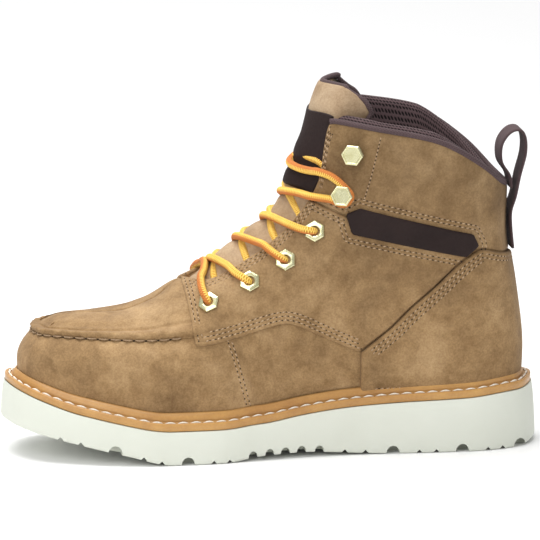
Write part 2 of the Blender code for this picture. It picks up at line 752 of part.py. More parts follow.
def lace_tube(name, points):
    """Round cord through points."""
    curve = bpy.data.curves.new(name, "CURVE")
    curve.dimensions = "3D"
    curve.bevel_depth = LACE / 2
    curve.bevel_resolution = 1
    curve.use_fill_caps = True
    spline = curve.splines.new("POLY")
    spline.points.add(len(points) - 1)
    for knot, point in zip(spline.points, points):
        knot.co = (*point, 1)
    cord = bpy.data.objects.new(name, curve)
    bpy.context.scene.collection.objects.link(cord)
    bpy.context.view_layer.update()
    evaluated = cord.evaluated_get(bpy.context.evaluated_depsgraph_get())
    mesh = bpy.data.meshes.new_from_object(evaluated)
    bpy.data.objects.remove(cord)
    bm = bmesh.new()
    bm.from_mesh(mesh)
    bpy.data.meshes.remove(mesh)
    bmesh.ops.remove_doubles(bm, verts=bm.verts, dist=0.00001)
    bmesh.ops.recalc_face_normals(bm, faces=bm.faces)
    return finish_mesh(name, bm)


def lace_points(side, low, high, hooked):
    """A lace from under one side's throat edge at its lower station, over the tongue and the other side's
    edge, to the eyelet there or just short of the hook."""
    (low_t, _), (high_t, high_v) = low, high
    clear = LACE / 2 + 3 * GAP
    points = []
    for k in range(6):
        t = low_t + (high_t - low_t) * (0.22 + 0.68 * k / 5)
        points.append(on_tongue(t, (-0.62 + 1.12 * k / 5) * side, clear))
    top = QUARTER_THICK + GAP + clear
    points.append(lifted(side, high_t, 4.0, top + LACE_ARCH * 0.7))
    if hooked:
        points.append(lifted(side, high_t, (4.0 + high_v) / 2, top + LACE_ARCH * 0.3))
    else:
        points.append(lifted(side, high_t, high_v, top + EYELET_THICK + 2 * GAP))
    return points


def tucked_points(side):
    """The last crossing, from the upper hooks' level to behind the other side's collar."""
    start, end = HOOKS[0][0] + 0.12, TONGUE_FREE + 0.25
    clear = LACE / 2 + 3 * GAP
    return [on_tongue(start + (end - start) * k / 6, (-0.66 + 1.32 * k / 6) * side, clear) for k in range(7)]


def make_laces():
    stops = EYELETS + HOOKS
    first_t, first_v = stops[0]
    top = QUARTER_THICK + EYELET_THICK + 5 * GAP + LACE / 2
    over_edge = top + LACE_ARCH * 0.6
    bar = [lifted(-1, first_t, first_v, top), lifted(-1, first_t, 3.6, over_edge),
           lifted(-1, first_t, 4.0, over_edge)]
    bar += [on_tongue(first_t, w, LACE / 2 + 5 * GAP + LACE_ARCH) for w in (-0.7, -0.3, 0.3, 0.7)]
    bar += [lifted(1, first_t, 4.0, over_edge), lifted(1, first_t, 3.6, over_edge),
            lifted(1, first_t, first_v, top)]
    material(lace_tube("lace_bar", bar), YELLOW, 0.7)
    for k in range(1, len(stops)):
        pair = []
        for side in (1, -1):
            if k == len(stops) - 1:
                points = tucked_points(side)
            else:
                points = lace_points(side, stops[k - 1], stops[k], k >= len(EYELETS))
            pair.append(lace_tube(f"lace_cross_{k}" + ("" if side > 0 else "_other"), points))
        cut(pair[0], as_cutter(pair[1]), "UNION")
        material(pair[0], YELLOW, 0.7)


for old in list(bpy.data.objects):
    bpy.data.objects.remove(old, do_unlink=True)
parts = bpy.data.collections.new("wedge_sole_work_boot")
cutters = bpy.data.collections.new("cutters")
for group in (parts, cutters):
    bpy.context.scene.collection.children.link(group)

cut(make_sole(), make_notches())
holes = make_holes()
for panel in [make_upper()] + make_panels():
    cut(panel, holes)
make_welt()
make_insole()
make_tongue()
make_collar()
make_loop()
make_studs()
make_laces()
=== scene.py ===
"""Wedge sole work boot: the finished look of the left boot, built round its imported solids.

Metres, +Z up, +X to the toe, +Y to the outer side. The tables and the wall's function are the boot's own,
worked here at a finer step, so each piece lies where its solid lies.
"""
import math
from bisect import bisect_left
from functools import lru_cache

import bmesh
import bpy
import numpy as np
from mathutils import Matrix, Vector


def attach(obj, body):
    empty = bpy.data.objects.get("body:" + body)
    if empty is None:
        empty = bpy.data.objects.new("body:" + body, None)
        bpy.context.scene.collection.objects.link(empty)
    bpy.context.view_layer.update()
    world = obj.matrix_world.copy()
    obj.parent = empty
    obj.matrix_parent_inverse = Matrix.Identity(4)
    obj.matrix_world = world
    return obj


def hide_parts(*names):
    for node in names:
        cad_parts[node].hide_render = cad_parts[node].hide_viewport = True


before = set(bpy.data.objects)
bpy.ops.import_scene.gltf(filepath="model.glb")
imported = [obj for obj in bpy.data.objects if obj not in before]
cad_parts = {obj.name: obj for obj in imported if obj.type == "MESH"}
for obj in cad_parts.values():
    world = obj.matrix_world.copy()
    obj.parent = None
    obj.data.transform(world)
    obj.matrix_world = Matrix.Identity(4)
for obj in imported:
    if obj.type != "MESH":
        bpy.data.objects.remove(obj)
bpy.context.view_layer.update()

# Driving sizes
LENGTH = 0.308            # outsole, heel back to toe tip
HEEL_BACK = 0.045         # from the origin back to the outsole's heel
BALL_WIDTH = 0.114        # outsole across the ball
SOLE_HEEL = 0.0305        # sole thickness under the heel
TOE_SPRING = 0.020        # how high the sole's tip stands off the floor
SOLE_FLARE = 0.002        # how far the sole spreads from its top to its bottom
SOLE_CHAMFER = 0.0015     # chamfer round the sole's bottom edge
WELT_WIDTH = 0.008        # welt, from its outer edge to the upper
WELT_STEP = 0.0005        # sole top standing out past the welt
WELT_THICK = 0.0045       # flat edge band of the welt
BEAD_RISE = 0.0095        # top of the welt's bead over the sole
BEAD_WIDTH = 0.0028
UPPER_HEIGHT = 0.160      # collar's front corner over the sole
INNER_RISE = 0.006        # how much higher the collar is on the inner side
WALL = 0.0022             # leather and lining of the upper
MOC_RISE = 0.0028         # rolled moc seam over the vamp
QUARTER_THICK = 0.0014
SHAFT_THICK = 0.0010
COUNTER_THICK = 0.0022
PATCH_THICK = 0.0012
TONGUE_THICK = 0.007
COLLAR_THICK = 0.0065
COLLAR_ROLL = 0.0045      # how far the padding stands over the leather edge
LACE = 0.0045             # lace diameter
EYELET_ACROSS = 0.011
EYELET_BORE = 0.0050
EYELET_THICK = 0.0012
BARREL_WALL = 0.0006      # metal of the eyelet's barrel
HOOK_RISE = 0.0062
HOOK_BASE = 0.0010        # hook's foot plate
HOOK_HEAD = 0.0017        # hook's head, from its neck to its face
LOOP_WIDTH = 0.020
LOOP_THICK = 0.0016
GAP = 0.0003              # clearance between pieces that meet

# The boot from toe tip to heel back, a row for each station. along, outer and inner give the outsole's
# outline, as shares of LENGTH and of half of BALL_WIDTH. side, mid and up are three levels of the wall:
# their height over the sole as a share of UPPER_HEIGHT, their reach out from the feather line as a share
# of half of BALL_WIDTH, and their lean from the feather line's x towards the top's. top is the edge of
# throat and collar, or the ridge of the vamp where its half width is 0.
COLUMNS = ("along", "outer", "inner", "side_high", "side_out", "mid_high", "mid_out", "mid_lean",
           "up_high", "up_out", "up_lean", "top_along", "top_high", "top_half")
STATIONS = (
    (1.000, -0.07, 0.07, 0.118, 0.014, 0.199, -0.130, 0.00, 0.239, -0.30, 0.00, 0.873, 0.255, 0.00),
    (0.987, 0.27, 0.42, 0.126, 0.014, 0.205, -0.130, 0.00, 0.248, -0.32, 0.00, 0.851, 0.265, 0.00),
    (0.951, 0.55, 0.67, 0.150, 0.018, 0.226, -0.140, 0.00, 0.270, -0.34, 0.00, 0.818, 0.289, 0.00),
    (0.886, 0.76, 0.87, 0.180, 0.018, 0.259, -0.140, 0.00, 0.304, -0.34, 0.20, 0.773, 0.329, 0.00),
    (0.805, 0.91, 0.98, 0.200, 0.018, 0.288, -0.140, 0.10, 0.351, -0.37, 0.50, 0.721, 0.401, 0.00),
    (0.721, 0.98, 1.00, 0.217, 0.026, 0.316, -0.140, 0.15, 0.417, -0.39, 0.60, 0.669, 0.489, 0.00),
    (0.633, 0.96, 0.94, 0.220, 0.035, 0.332, -0.060, 0.25, 0.444, -0.26, 0.65, 0.623, 0.502, 0.31),
    (0.532, 0.84, 0.80, 0.212, 0.060, 0.344, 0.030, 0.30, 0.488, -0.12, 0.65, 0.542, 0.578, 0.37),
    (0.442, 0.74, 0.70, 0.196, 0.079, 0.359, 0.090, 0.30, 0.546, 0.00, 0.65, 0.464, 0.684, 0.40),
    (0.364, 0.70, 0.66, 0.185, 0.079, 0.372, 0.105, 0.30, 0.610, 0.06, 0.65, 0.419, 0.807, 0.43),
    (0.292, 0.69, 0.66, 0.182, 0.070, 0.389, 0.105, 0.30, 0.695, 0.10, 0.65, 0.396, 1.007, 0.47),
    (0.218, 0.70, 0.68, 0.176, 0.055, 0.389, 0.088, 0.30, 0.676, 0.12, 0.65, 0.308, 0.976, 0.65),
    (0.140, 0.69, 0.68, 0.172, 0.040, 0.384, 0.060, 0.30, 0.647, 0.09, 0.60, 0.205, 0.928, 0.68),
    (0.071, 0.59, 0.59, 0.172, 0.030, 0.378, 0.020, 0.20, 0.597, 0.01, 0.50, 0.120, 0.822, 0.53),
    (0.023, 0.38, 0.38, 0.172, 0.020, 0.372, -0.030, 0.10, 0.553, -0.08, 0.30, 0.075, 0.741, 0.27),
    (0.000, 0.00, 0.00, 0.169, 0.012, 0.369, -0.055, 0.00, 0.544, -0.13, 0.00, 0.058, 0.719, 0.00),
)
LAST = len(STATIONS) - 1
RIDGE_END = 5             # station where the vamp's ridge opens into the throat
CROWN_END = 6.5           # station where the vamp's crown is no longer rounded over
TOE_SWING = 0.07          # how far the ridge's tip swings to the inner side
STEP = 0.5                # stations over which a form runs out
ROUND = 2 * LAST          # stations once round the boot: toe, outer side, heel, inner side
HEEL = float(LAST)
TOP = 4.0                 # row of the wall's top edge, or of the vamp's ridge
UP = Vector((0, 0, 1))

# Sole from the side: share of LENGTH, underside as a share of TOE_SPRING, thickness as one of SOLE_HEEL
SOLE = (
    (0.000, 0.12, 1.06),
    (0.049, 0.00, 1.07),
    (0.146, 0.00, 1.00),
    (0.276, 0.00, 0.95),
    (0.360, 0.06, 0.86),
    (0.458, 0.15, 0.69),
    (0.536, 0.12, 0.60),
    (0.605, 0.00, 0.62),
    (0.700, 0.00, 0.62),
    (0.782, 0.26, 0.56),
    (0.867, 0.54, 0.56),
    (0.942, 0.79, 0.63),
    (1.000, 1.00, 0.70),
)

# Points over the sole where eyelets and hooks sit: station and row on the wall, from the toe up
EYELETS = ((6.12, 2.88), (6.96, 3.09), (7.7, 3.19), (8.55, 3.33))
HOOKS = ((9.77, 3.23), (10.4, 3.67))

# Crest of the tongue: station, share of LENGTH, share of UPPER_HEIGHT over the heel's sole. Past station
# 10, at the collar's front corner, the tongue stands free and rows only count on.
TONGUE_CREST = (
    (5.0, 0.664, 0.400),
    (6.0, 0.614, 0.469),
    (7.0, 0.558, 0.556),
    (8.0, 0.482, 0.678),
    (9.0, 0.458, 0.806),
    (10.0, 0.427, 1.000),
    (11.0, 0.417, 1.062),
    (12.0, 0.4075, 1.109),
    (12.5, 0.401, 1.125),
)
TONGUE_FIRST, TONGUE_LAST = TONGUE_CREST[0][0], TONGUE_CREST[-1][0]
TONGUE_FREE = 10.0        # station where the tongue leaves the collar
TONGUE_NARROW = 0.06      # how much narrower each free row is
# Wings of the tongue, which lie back inside the collar: station, share of LENGTH, half width as a share
# of half of BALL_WIDTH, share of UPPER_HEIGHT over the heel's sole
TONGUE_WING = (
    (10.0, 0.335, 0.30, 0.960),
    (11.0, 0.318, 0.37, 1.020),
    (12.0, 0.332, 0.35, 1.070),
    (12.5, 0.362, 0.26, 1.105),
)

# Panel outlines from the side: share of LENGTH, share of UPPER_HEIGHT over the heel's sole
QUARTER_EDGE = (
    (0.675, 0.530), (0.664, 0.378), (0.656, 0.222), (0.633, 0.225), (0.575, 0.250), (0.516, 0.281),
    (0.487, 0.290), (0.461, 0.278), (0.406, 0.228), (0.349, 0.178), (0.291, 0.263), (0.257, 0.328),
    (0.206, 0.411), (0.169, 0.477), (0.148, 0.509), (0.146, 0.523), (0.373, 0.668), (0.445, 0.722),
    (0.568, 0.747),
)
SHAFT_EDGE = (
    (0.373, 0.674), (0.447, 0.729), (0.503, 0.747), (0.503, 1.200), (-0.050, 1.200), (-0.050, 0.503),
    (0.050, 0.500), (0.110, 0.531), (0.125, 0.531), (0.146, 0.529),
)
COUNTER_EDGE = (
    (0.344, 0.175), (0.289, 0.258), (0.255, 0.322), (0.2045, 0.406), (0.167, 0.472), (0.146, 0.503),
    (0.125, 0.526), (0.110, 0.526), (0.052, 0.495), (-0.050, 0.490),
)
PATCH_EDGE = (
    (0.373, 0.677), (0.347, 0.697), (0.136, 0.589), (0.125, 0.544), (0.149, 0.508), (0.362, 0.604),
)

# Notches in the sole's edge: kind and places as shares of LENGTH. Each kind has its number of sides, half
# width and depth.
NOTCHES = (
    ("block", (0.042, 0.156, 0.286, 0.675, 0.808)),
    ("dome", (0.425, 0.459, 0.490, 0.520, 0.552)),
    ("vee", (0.078, 0.107, 0.205, 0.237, 0.338, 0.377, 0.597, 0.627, 0.724, 0.757, 0.870, 0.906)),
)
NOTCH_KINDS = {
    "block": (12, 0.0040, 0.0048),
    "dome": (12, 0.0028, 0.0040),
    "vee": (4, 0.0020, 0.0022),
}
NOTCH_REACH = 0.010       # how far a notch runs in from the sole's edge

# Side view of the pull loop: webbing from inside its start at the collar, over its top and down the back,
# as x and height from the collar's back edge
LOOP_START = (
    (-0.0026, -0.001), (-0.0015, 0.006), (0.0032, 0.014), (0.0030, 0.024), (-0.0020, 0.0310),
    (-0.0078, 0.0320), (-0.0106, 0.0270), (-0.0106, 0.0180), (-0.0075, 0.0060), (-0.0050, -0.0060),
)
LOOP_TAIL = 0.0365        # webbing running down the back from the collar's edge


# Lines

def bend(a, b, before, after, f):
    """Place at share f of the curve from a to b that starts in direction before and ends in after."""
    return (a * (1 + 2 * f) * (1 - f) ** 2 + b * f * f * (3 - 2 * f)
            + before * f * (1 - f) ** 2 - after * f * f * (1 - f))


def curve(points, i, f, ending=None):
    """Place at share f of step i of the smooth line through points. ending gives the direction in which
    it reaches its end from the step that it makes there."""
    a, b = points[i], points[i + 1]
    before = (b - points[i - 1]) / 2 if i else b - a
    if i < len(points) - 2:
        after = (points[i + 2] - a) / 2
    else:
        after = ending(b - a) if ending else b - a
    return bend(a, b, before, after, f)


def lengths_along(points):
    """Length of a line from its start to each of its points."""
    lengths = [0.0]
    for a, b in zip(points, points[1:]):
        lengths.append(lengths[-1] + (b - a).length)
    return lengths


def step_at(lengths, want):
    """The step of a line that a length falls in, and the share of that step before it."""
    k = min(max(bisect_left(lengths, want) - 1, 0), len(lengths) - 2)
    return k, (want - lengths[k]) / max(lengths[k + 1] - lengths[k], 1e-9)


def even_line(points, pitch):
    """Smooth line through points, as points a pitch apart."""
    fine = [curve(points, k, n / 12) for k in range(len(points) - 1) for n in range(12)] + [points[-1]]
    lengths = lengths_along(fine)
    count = max(round(lengths[-1] / pitch), 2)
    found = []
    for n in range(count + 1):
        k, share = step_at(lengths, lengths[-1] * n / count)
        found.append(fine[k].lerp(fine[k + 1], min(share, 1.0)))
    return found


def smooth(share):
    share = min(max(share, 0.0), 1.0)
    return share * share * (3 - 2 * share)


def roll(share):
    """Height of a rounded edge, 0 at the edge and 1 where the piece is level."""
    share = min(max(share, 0.0), 1.0)
    return math.sqrt(max(1 - (1 - share) ** 2, 0.0))


def halfway(reached, low, high, tries):
    """Where reached(place) turns false between two places, by halving."""
    for _ in range(tries):
        middle = (low + high) / 2
        if reached(middle):
            low = middle
        else:
            high = middle
    return low


def line_through(points, x):
    """Height at x of a smooth line through (x, height) points, which never swings past them."""
    last = len(points) - 1
    x = min(max(x, points[0][0]), points[last][0])
    i = max(k for k in range(last) if points[k][0] <= x)

    def rise(k):
        k = min(max(k, 0), last - 1)
        return (points[k + 1][1] - points[k][1]) / (points[k + 1][0] - points[k][0])

    def slope(k):
        before, after = rise(k - 1), rise(k)
        return 0.0 if before * after <= 0 else 2 * before * after / (before + after)

    width = points[i + 1][0] - points[i][0]
    f = (x - points[i][0]) / width
    return (points[i][1] * (1 + 2 * f) * (1 - f) ** 2 + points[i + 1][1] * f * f * (3 - 2 * f)
            + width * (slope(i) * f * (1 - f) ** 2 - slope(i + 1) * f * f * (1 - f)))


def from_table(table, s, column):
    """Value of a column of a table at a place in its first one."""
    return line_through([(row[0], row[column]) for row in table], s)


def x_at(share):
    return share * LENGTH - HEEL_BACK


def sole_bottom(x):
    return TOE_SPRING * line_through([(x_at(row[0]), row[1]) for row in SOLE], x)


def sole_top(x):
    return sole_bottom(x) + SOLE_HEEL * line_through([(x_at(row[0]), row[2]) for row in SOLE], x)


@lru_cache(maxsize=None)
def column(name, side):
    """One column of the table as (station, value) points. It runs one station past both ends, on the
    boot's other side, and widths carry the side's sign."""
    pick = {"half": ("outer", "inner")[side < 0]}.get(name, name)
    other = {"half": ("outer", "inner")[side > 0]}.get(name, name)
    signed = name in ("half", "top_half")
    values = [row[COLUMNS.index(pick)] * (side if signed else 1) for row in STATIONS]
    past = [row[COLUMNS.index(other)] * (-side if signed else 1) for row in STATIONS]
    return [(-1, past[1])] + list(enumerate(values)) + [(LAST + 1, past[LAST - 1])]


def value(name, side, t):
    return line_through(column(name, side), t)


def turn(side, t):
    """A station past the toe tip or the heel back lies on the boot's other side."""
    if t < 0:
        return -side, -t
    if t > LAST:
        return -side, ROUND - t
    return side, t


@lru_cache(maxsize=None)
def outline(side, t):
    side, t = turn(side, t)
    return Vector((x_at(value("along", side, t)), value("half", side, t) * BALL_WIDTH / 2, 0))


@lru_cache(maxsize=None)
def outward(side, t):
    """Level direction out of the outline."""
    along = outline(side, t + 0.05) - outline(side, t - 0.05)
    return Vector((along.y, -along.x, 0)).normalized() * side


def inset(side, t, depth):
    """Point of the outline moved inward, on the sole's top."""
    point = outline(side, t) - outward(side, t) * depth
    point.z = sole_top(point.x)
    return point


FEATHER = SOLE_FLARE + WELT_STEP + WELT_WIDTH


def ridge_swing(x):
    """The ridge's distance to the inner side, growing towards the toe."""
    start, end = x_at(STATIONS[RIDGE_END][11]), x_at(STATIONS[0][11])
    return -TOE_SWING * BALL_WIDTH / 2 * min(max((x - start) / (end - start), 0), 1)


@lru_cache(maxsize=None)
def levels(side, t):
    """The wall's five points at a station, from the feather line to the top edge."""
    base = inset(side, t, FEATHER)
    out = outward(side, t)
    top_x = x_at(value("top_along", side, t))
    found = [base + Vector((0, 0, GAP))]
    for level in ("side", "mid", "up"):
        lean = 0.0 if level == "side" else value(level + "_lean", side, t)
        point = base + out * value(level + "_out", side, t) * BALL_WIDTH / 2
        point.x += (top_x - base.x) * lean
        point.z = base.z + value(level + "_high", side, t) * UPPER_HEIGHT
        found.append(point)
    half = 0.0 if t <= RIDGE_END else value("top_half", side, t) * BALL_WIDTH / 2
    top = Vector((top_x, half + ridge_swing(top_x), base.z + value("top_high", side, t) * UPPER_HEIGHT))
    if side < 0:
        top.z += INNER_RISE * min(max((t - 9) / 2, 0), 1) * abs(value("top_half", side, t)) / 0.68
    return found + [top]


@lru_cache(maxsize=None)
def wall(side, t, v):
    """Point of the wall at a station and a row, 0 at the feather line and 4 at the top edge."""
    side, t = turn(side, t)
    i = min(int(v), 3)
    return curve(levels(side, t), i, v - i, lambda rise: crown_slope(rise, t))


def crown_slope(rise, t):
    """Direction in which the wall reaches its top: level over the vamp, so that its two sides meet in one
    round crown, and straight on at the throat and the collar."""
    ahead = 1 - smooth((t - 1.0) / 2.0)
    level = Vector((rise.x * ahead, rise.y, 0)).normalized() * rise.length
    share = min(max((CROWN_END - t) / (CROWN_END - RIDGE_END), 0), 1)
    return rise.lerp(level, share)


@lru_cache(maxsize=None)
def normal(side, t, v):
    small = 0.02
    along = wall(side, t + small, v) - wall(side, t - small, v)
    up = wall(side, t, min(v + small, TOP)) - wall(side, t, max(v - small, 0.0))
    out = along.cross(up).normalized() * side
    if v >= TOP and t <= RIDGE_END:
        out.y = 0
        out.normalize()
    return out


def lifted(side, t, v, lift):
    """Point of the wall moved out along its normal."""
    side, t = turn(side, t)
    return wall(side, t, v) + normal(side, t, v) * lift


def height_at(share):
    return SOLE_HEEL + share * UPPER_HEIGHT


def station_at(side, x):
    """Station where the outline reaches a given x."""
    return halfway(lambda t: outline(side, t).x > x, 0.0, HEEL, 30)


def row_at(side, t, rise):
    """Row of the wall at a height over the sole."""
    return halfway(lambda v: wall(side, t, v).z - wall(side, t, 0.0).z < rise, 0.0, TOP, 30)


def crest(s):
    """Highest line of the tongue."""
    x = x_at(from_table(TONGUE_CREST, s, 1))
    return Vector((x, ridge_swing(x), height_at(from_table(TONGUE_CREST, s, 2))))


def wing(side, s):
    """Rear edge of the tongue's free part."""
    along, half, high = (from_table(TONGUE_WING, s, k) for k in (1, 2, 3))
    return Vector((x_at(along), side * half * BALL_WIDTH / 2, height_at(high)))


@lru_cache(maxsize=None)
def tongue_rib(s):
    """The tongue's section at a station: flank, edge, crest, edge and flank, from inner to outer side."""
    t = min(s, TONGUE_FREE)
    under = -(WALL + 4 * GAP)
    edge_row, flank_row = (3.7, 3.3) if t < RIDGE_END + STEP else (TOP, 3.5)
    rib = [lifted(-1, t, flank_row, under), lifted(-1, t, edge_row, under), crest(t),
           lifted(1, t, edge_row, under), lifted(1, t, flank_row, under)]
    if t <= RIDGE_END:
        rib[2] = lifted(1, t, TOP, under)
    if s > TONGUE_FREE:
        shift = crest(s) - crest(TONGUE_FREE)
        rib = [point + shift for point in rib]
        for point in rib:
            point.y *= 1 - TONGUE_NARROW * (s - TONGUE_FREE) ** 2
    back = smooth(s - TONGUE_FREE + STEP / 2)
    rib[0] = rib[0].lerp(wing(-1, s), back)
    rib[4] = rib[4].lerp(wing(1, s), back)
    return rib


def tongue_face(s, w):
    """Point of the tongue's face: w runs from -2 on the inner side to 2 on the outer side."""
    i = min(max(int(math.floor(w)) + 2, 0), 3)
    return curve(tongue_rib(s), i, w + 2 - i)


def on_tongue(s, w, lift):
    up = tongue_face(min(s + 0.1, TONGUE_LAST), w) - tongue_face(s - 0.1, w)
    across = tongue_face(s, min(w + 0.1, 2)) - tongue_face(s, max(w - 0.1, -2))
    return tongue_face(s, w) + across.cross(up).normalized() * lift


def side_view(edge):
    return [(x_at(along), height_at(high)) for along, high in edge]


# Soft troughs pressed in the leather by wear, from the side: from x, z to x, z, depth and half width
CREASES = (
    (0.150, 0.088, 0.172, 0.076, 0.0007, 0.0050),
    (0.020, 0.128, 0.066, 0.121, 0.0006, 0.0060),
    (0.058, 0.100, 0.090, 0.112, 0.0006, 0.0060),
    (0.098, 0.052, 0.112, 0.066, 0.0005, 0.0060),
    (0.176, 0.040, 0.196, 0.052, 0.0004, 0.0070),
)
VAMP_REAR = ((0.1363, 0.078), (0.1217, 0.027))    # the vamp's rear edge from the side
VAMP_SEAM = ((0.1347, 0.0705), (0.1286, 0.050), (0.1234, 0.0315))
VAMP_STEP = 0.0008        # leather of the vamp over the piece behind it


def crease_depth(point):
    """How far the worn troughs press the leather in at a point."""
    total = 0.0
    for x0, z0, x1, z1, depth, width in CREASES:
        along, rise = x1 - x0, z1 - z0
        share = ((point.x - x0) * along + (point.z - z0) * rise) / (along * along + rise * rise)
        share = min(max(share, 0.0), 1.0)
        away = math.hypot(point.x - x0 - along * share, point.z - z0 - rise * share)
        total += depth * math.exp(-(away / width) ** 2)
    return total


def over_skin(side, t, v, lift):
    """Point over the worn leather of a side."""
    bare = wall(side, t, v)
    return bare + normal(side, t, v) * (lift - crease_depth(bare))


@lru_cache(maxsize=None)
def skin_point(t, v, lift=0.0):
    """Point over the worn leather. t runs from the toe along the outer side, round the heel at LAST and
    back along the inner side."""
    return over_skin(*turn(1, t), v, lift)


def station_of(t):
    """Station on either side of a place on the way round the boot."""
    return min(t, ROUND - t)


def grid(columns, rows, width=1.0, height=1.0):
    """Flat grid from 0, 0 to width, height."""
    bm = bmesh.new()
    bmesh.ops.create_grid(bm, x_segments=columns, y_segments=rows, size=1)
    for vert in bm.verts:
        vert.co = Vector(((vert.co.x + 1) / 2 * width, (vert.co.y + 1) / 2 * height, 0))
    return bm


def skin(columns, rows, place, around=False, over=False, leave_out=None, finish_of=None, uv=None):
    """Closed form from a grid whose corners place(i, j) puts where they belong. finish_of(i, j) gives a
    face its material, and uv the lengths of a column and a row on the UV map, or each corner's place."""
    bm = grid(columns, rows, columns, rows)
    if leave_out:
        middles = [(face, face.calc_center_median()) for face in bm.faces]
        unwanted = [face for face, m in middles if leave_out(int(m.x), int(m.y))]
        bmesh.ops.delete(bm, geom=unwanted, context="FACES")
    if uv:
        layer = bm.loops.layers.uv.new("UVMap")
        for face in bm.faces:
            for loop in face.loops:
                x, y = loop.vert.co.x, loop.vert.co.y
                loop[layer].uv = uv(round(x), round(y)) if callable(uv) else (x * uv[0], y * uv[1])
    if finish_of:
        for face in bm.faces:
            middle = face.calc_center_median()
            face.material_index = finish_of(int(middle.x), int(middle.y))
    for vert in bm.verts:
        i, j = round(vert.co.x), round(vert.co.y)
        vert.co = place(i % columns if around else i, j % rows if over else j)
    bmesh.ops.remove_doubles(bm, verts=bm.verts, dist=0.00001)
    bmesh.ops.dissolve_degenerate(bm, edges=bm.edges, dist=0.000001)
    bmesh.ops.holes_fill(bm, edges=[edge for edge in bm.edges if edge.is_boundary], sides=0)
    face_out(bm)
    return bm


def mesh_of(name, bm):
    mesh = bpy.data.meshes.new(name)
    bm.to_mesh(mesh)
    bm.free()
    return mesh


def placed(name, data):
    """New object in the scene."""
    thing = bpy.data.objects.new(name, data)
    bpy.context.scene.collection.objects.link(thing)
    return thing


def join(whole, bm):
    """Adds one form to another."""
    mesh = mesh_of("joining", bm)
    whole.from_mesh(mesh)
    bpy.data.meshes.remove(mesh)


def face_out(bm):
    """Turns every face of a closed form outward, also of a thin bent one, where the first call can miss."""
    bmesh.ops.recalc_face_normals(bm, faces=bm.faces)
    if bm.calc_volume(signed=True) < 0:
        bmesh.ops.reverse_faces(bm, faces=bm.faces)


def doubled(bm):
    """Copies a flat form up to z = 1 and closes it round its edge."""
    made = bmesh.ops.extrude_face_region(bm, geom=bm.faces[:], use_keep_orig=True)
    for vert in {item for item in made["geom"] if isinstance(item, bmesh.types.BMVert)}:
        vert.co.z = 1.0


def piece(name, bm, finishes, stands_for=()):
    """Finished piece of the boot, in place of the nodes that it stands for."""
    mesh = mesh_of(name, bm)
    mesh.shade_smooth()
    thing = placed(name, mesh)
    for used in finishes:
        mesh.materials.append(used)
    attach(thing, "root")
    if stands_for:
        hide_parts(*stands_for)
    return thing


def tube(points, radius, sides, uv=None):
    """Round cord through points, with its own radius at each."""
    radii = radius if isinstance(radius, (list, tuple)) else [radius] * len(points)
    frames, across = [], None
    for k, point in enumerate(points):
        along = (points[min(k + 1, len(points) - 1)] - points[max(k - 1, 0)]).normalized()
        if across is None:
            across = along.cross(Vector((0.3, 0.1, 1))).normalized()
        across = (across - along * across.dot(along)).normalized()
        frames.append((point, across, along.cross(across)))

    def place(i, j):
        centre, right, up = frames[i]
        angle = 2 * math.pi * j / sides
        return centre + (right * math.cos(angle) + up * math.sin(angle)) * radii[i]

    return skin(len(points) - 1, sides, place, over=True, uv=uv)


# Panels cut along lines that keep a distance from their edge

OUTLINE_PARTS = 8         # parts of an outline from one of its points to the next


def smooth_outline(points, sharp):
    """Closed outline through points, rounded except at the sharp ones, as (x, z, place) where place counts
    the points passed."""
    count = len(points)
    found = []
    for i in range(count):
        a, b = Vector(points[i]), Vector(points[(i + 1) % count])
        before = b - a if i in sharp else (b - Vector(points[i - 1])) / 2
        after = b - a if (i + 1) % count in sharp else (Vector(points[(i + 2) % count]) - a) / 2
        limit = (b - a).length
        before, after = (d * min(1, limit / max(d.length, 1e-9)) for d in (before, after))
        for n in range(OUTLINE_PARTS):
            f = n / OUTLINE_PARTS
            spot = bend(a, b, before, after, f)
            found.append((spot.x, spot.y, i + f))
    return found


def inside_by(outline_points, spots):
    """How far each (x, z) spot lies inside an outline, below 0 outside, and the place of the edge there."""
    edge = np.array(outline_points)
    a, b = edge[:, :2], np.roll(edge[:, :2], -1, axis=0)
    spots = np.array(spots)
    best = np.full(len(spots), 1e9)
    place = np.zeros(len(spots))
    within = np.zeros(len(spots), bool)
    for k in range(len(edge)):
        along = b[k] - a[k]
        share = np.clip(((spots - a[k]) @ along) / max(along @ along, 1e-12), 0, 1)
        away = np.hypot(*(spots - a[k] - share[:, None] * along).T)
        nearer = away < best
        best = np.where(nearer, away, best)
        place = np.where(nearer, edge[k, 2] + share / OUTLINE_PARTS, place)
        crosses = (a[k, 1] > spots[:, 1]) != (b[k, 1] > spots[:, 1])
        rise = along[1] if abs(along[1]) > 1e-12 else 1e-12
        reach = a[k, 0] + (spots[:, 1] - a[k, 1]) * along[0] / rise
        within ^= crosses & (spots[:, 0] < reach)
    return np.where(within, best, -best), place


def cut_at(bm, layer, level):
    """New edges along the line where a layer's value is level."""
    level = float(np.float32(level))
    for vert in bm.verts:
        if abs(vert[layer] - level) < 0.00005:
            vert[layer] = level
    crossed = [edge for edge in bm.edges
               if (edge.verts[0][layer] - level) * (edge.verts[1][layer] - level) < 0]
    for edge in crossed:
        a, b = edge.verts
        share = (level - a[layer]) / (b[layer] - a[layer])
        vert = bmesh.utils.edge_split(edge, a, share)[1]
        vert[layer] = level
    on = [vert for vert in bm.verts if vert[layer] == level]
    if on:
        bmesh.ops.connect_verts(bm, verts=on)
    return level


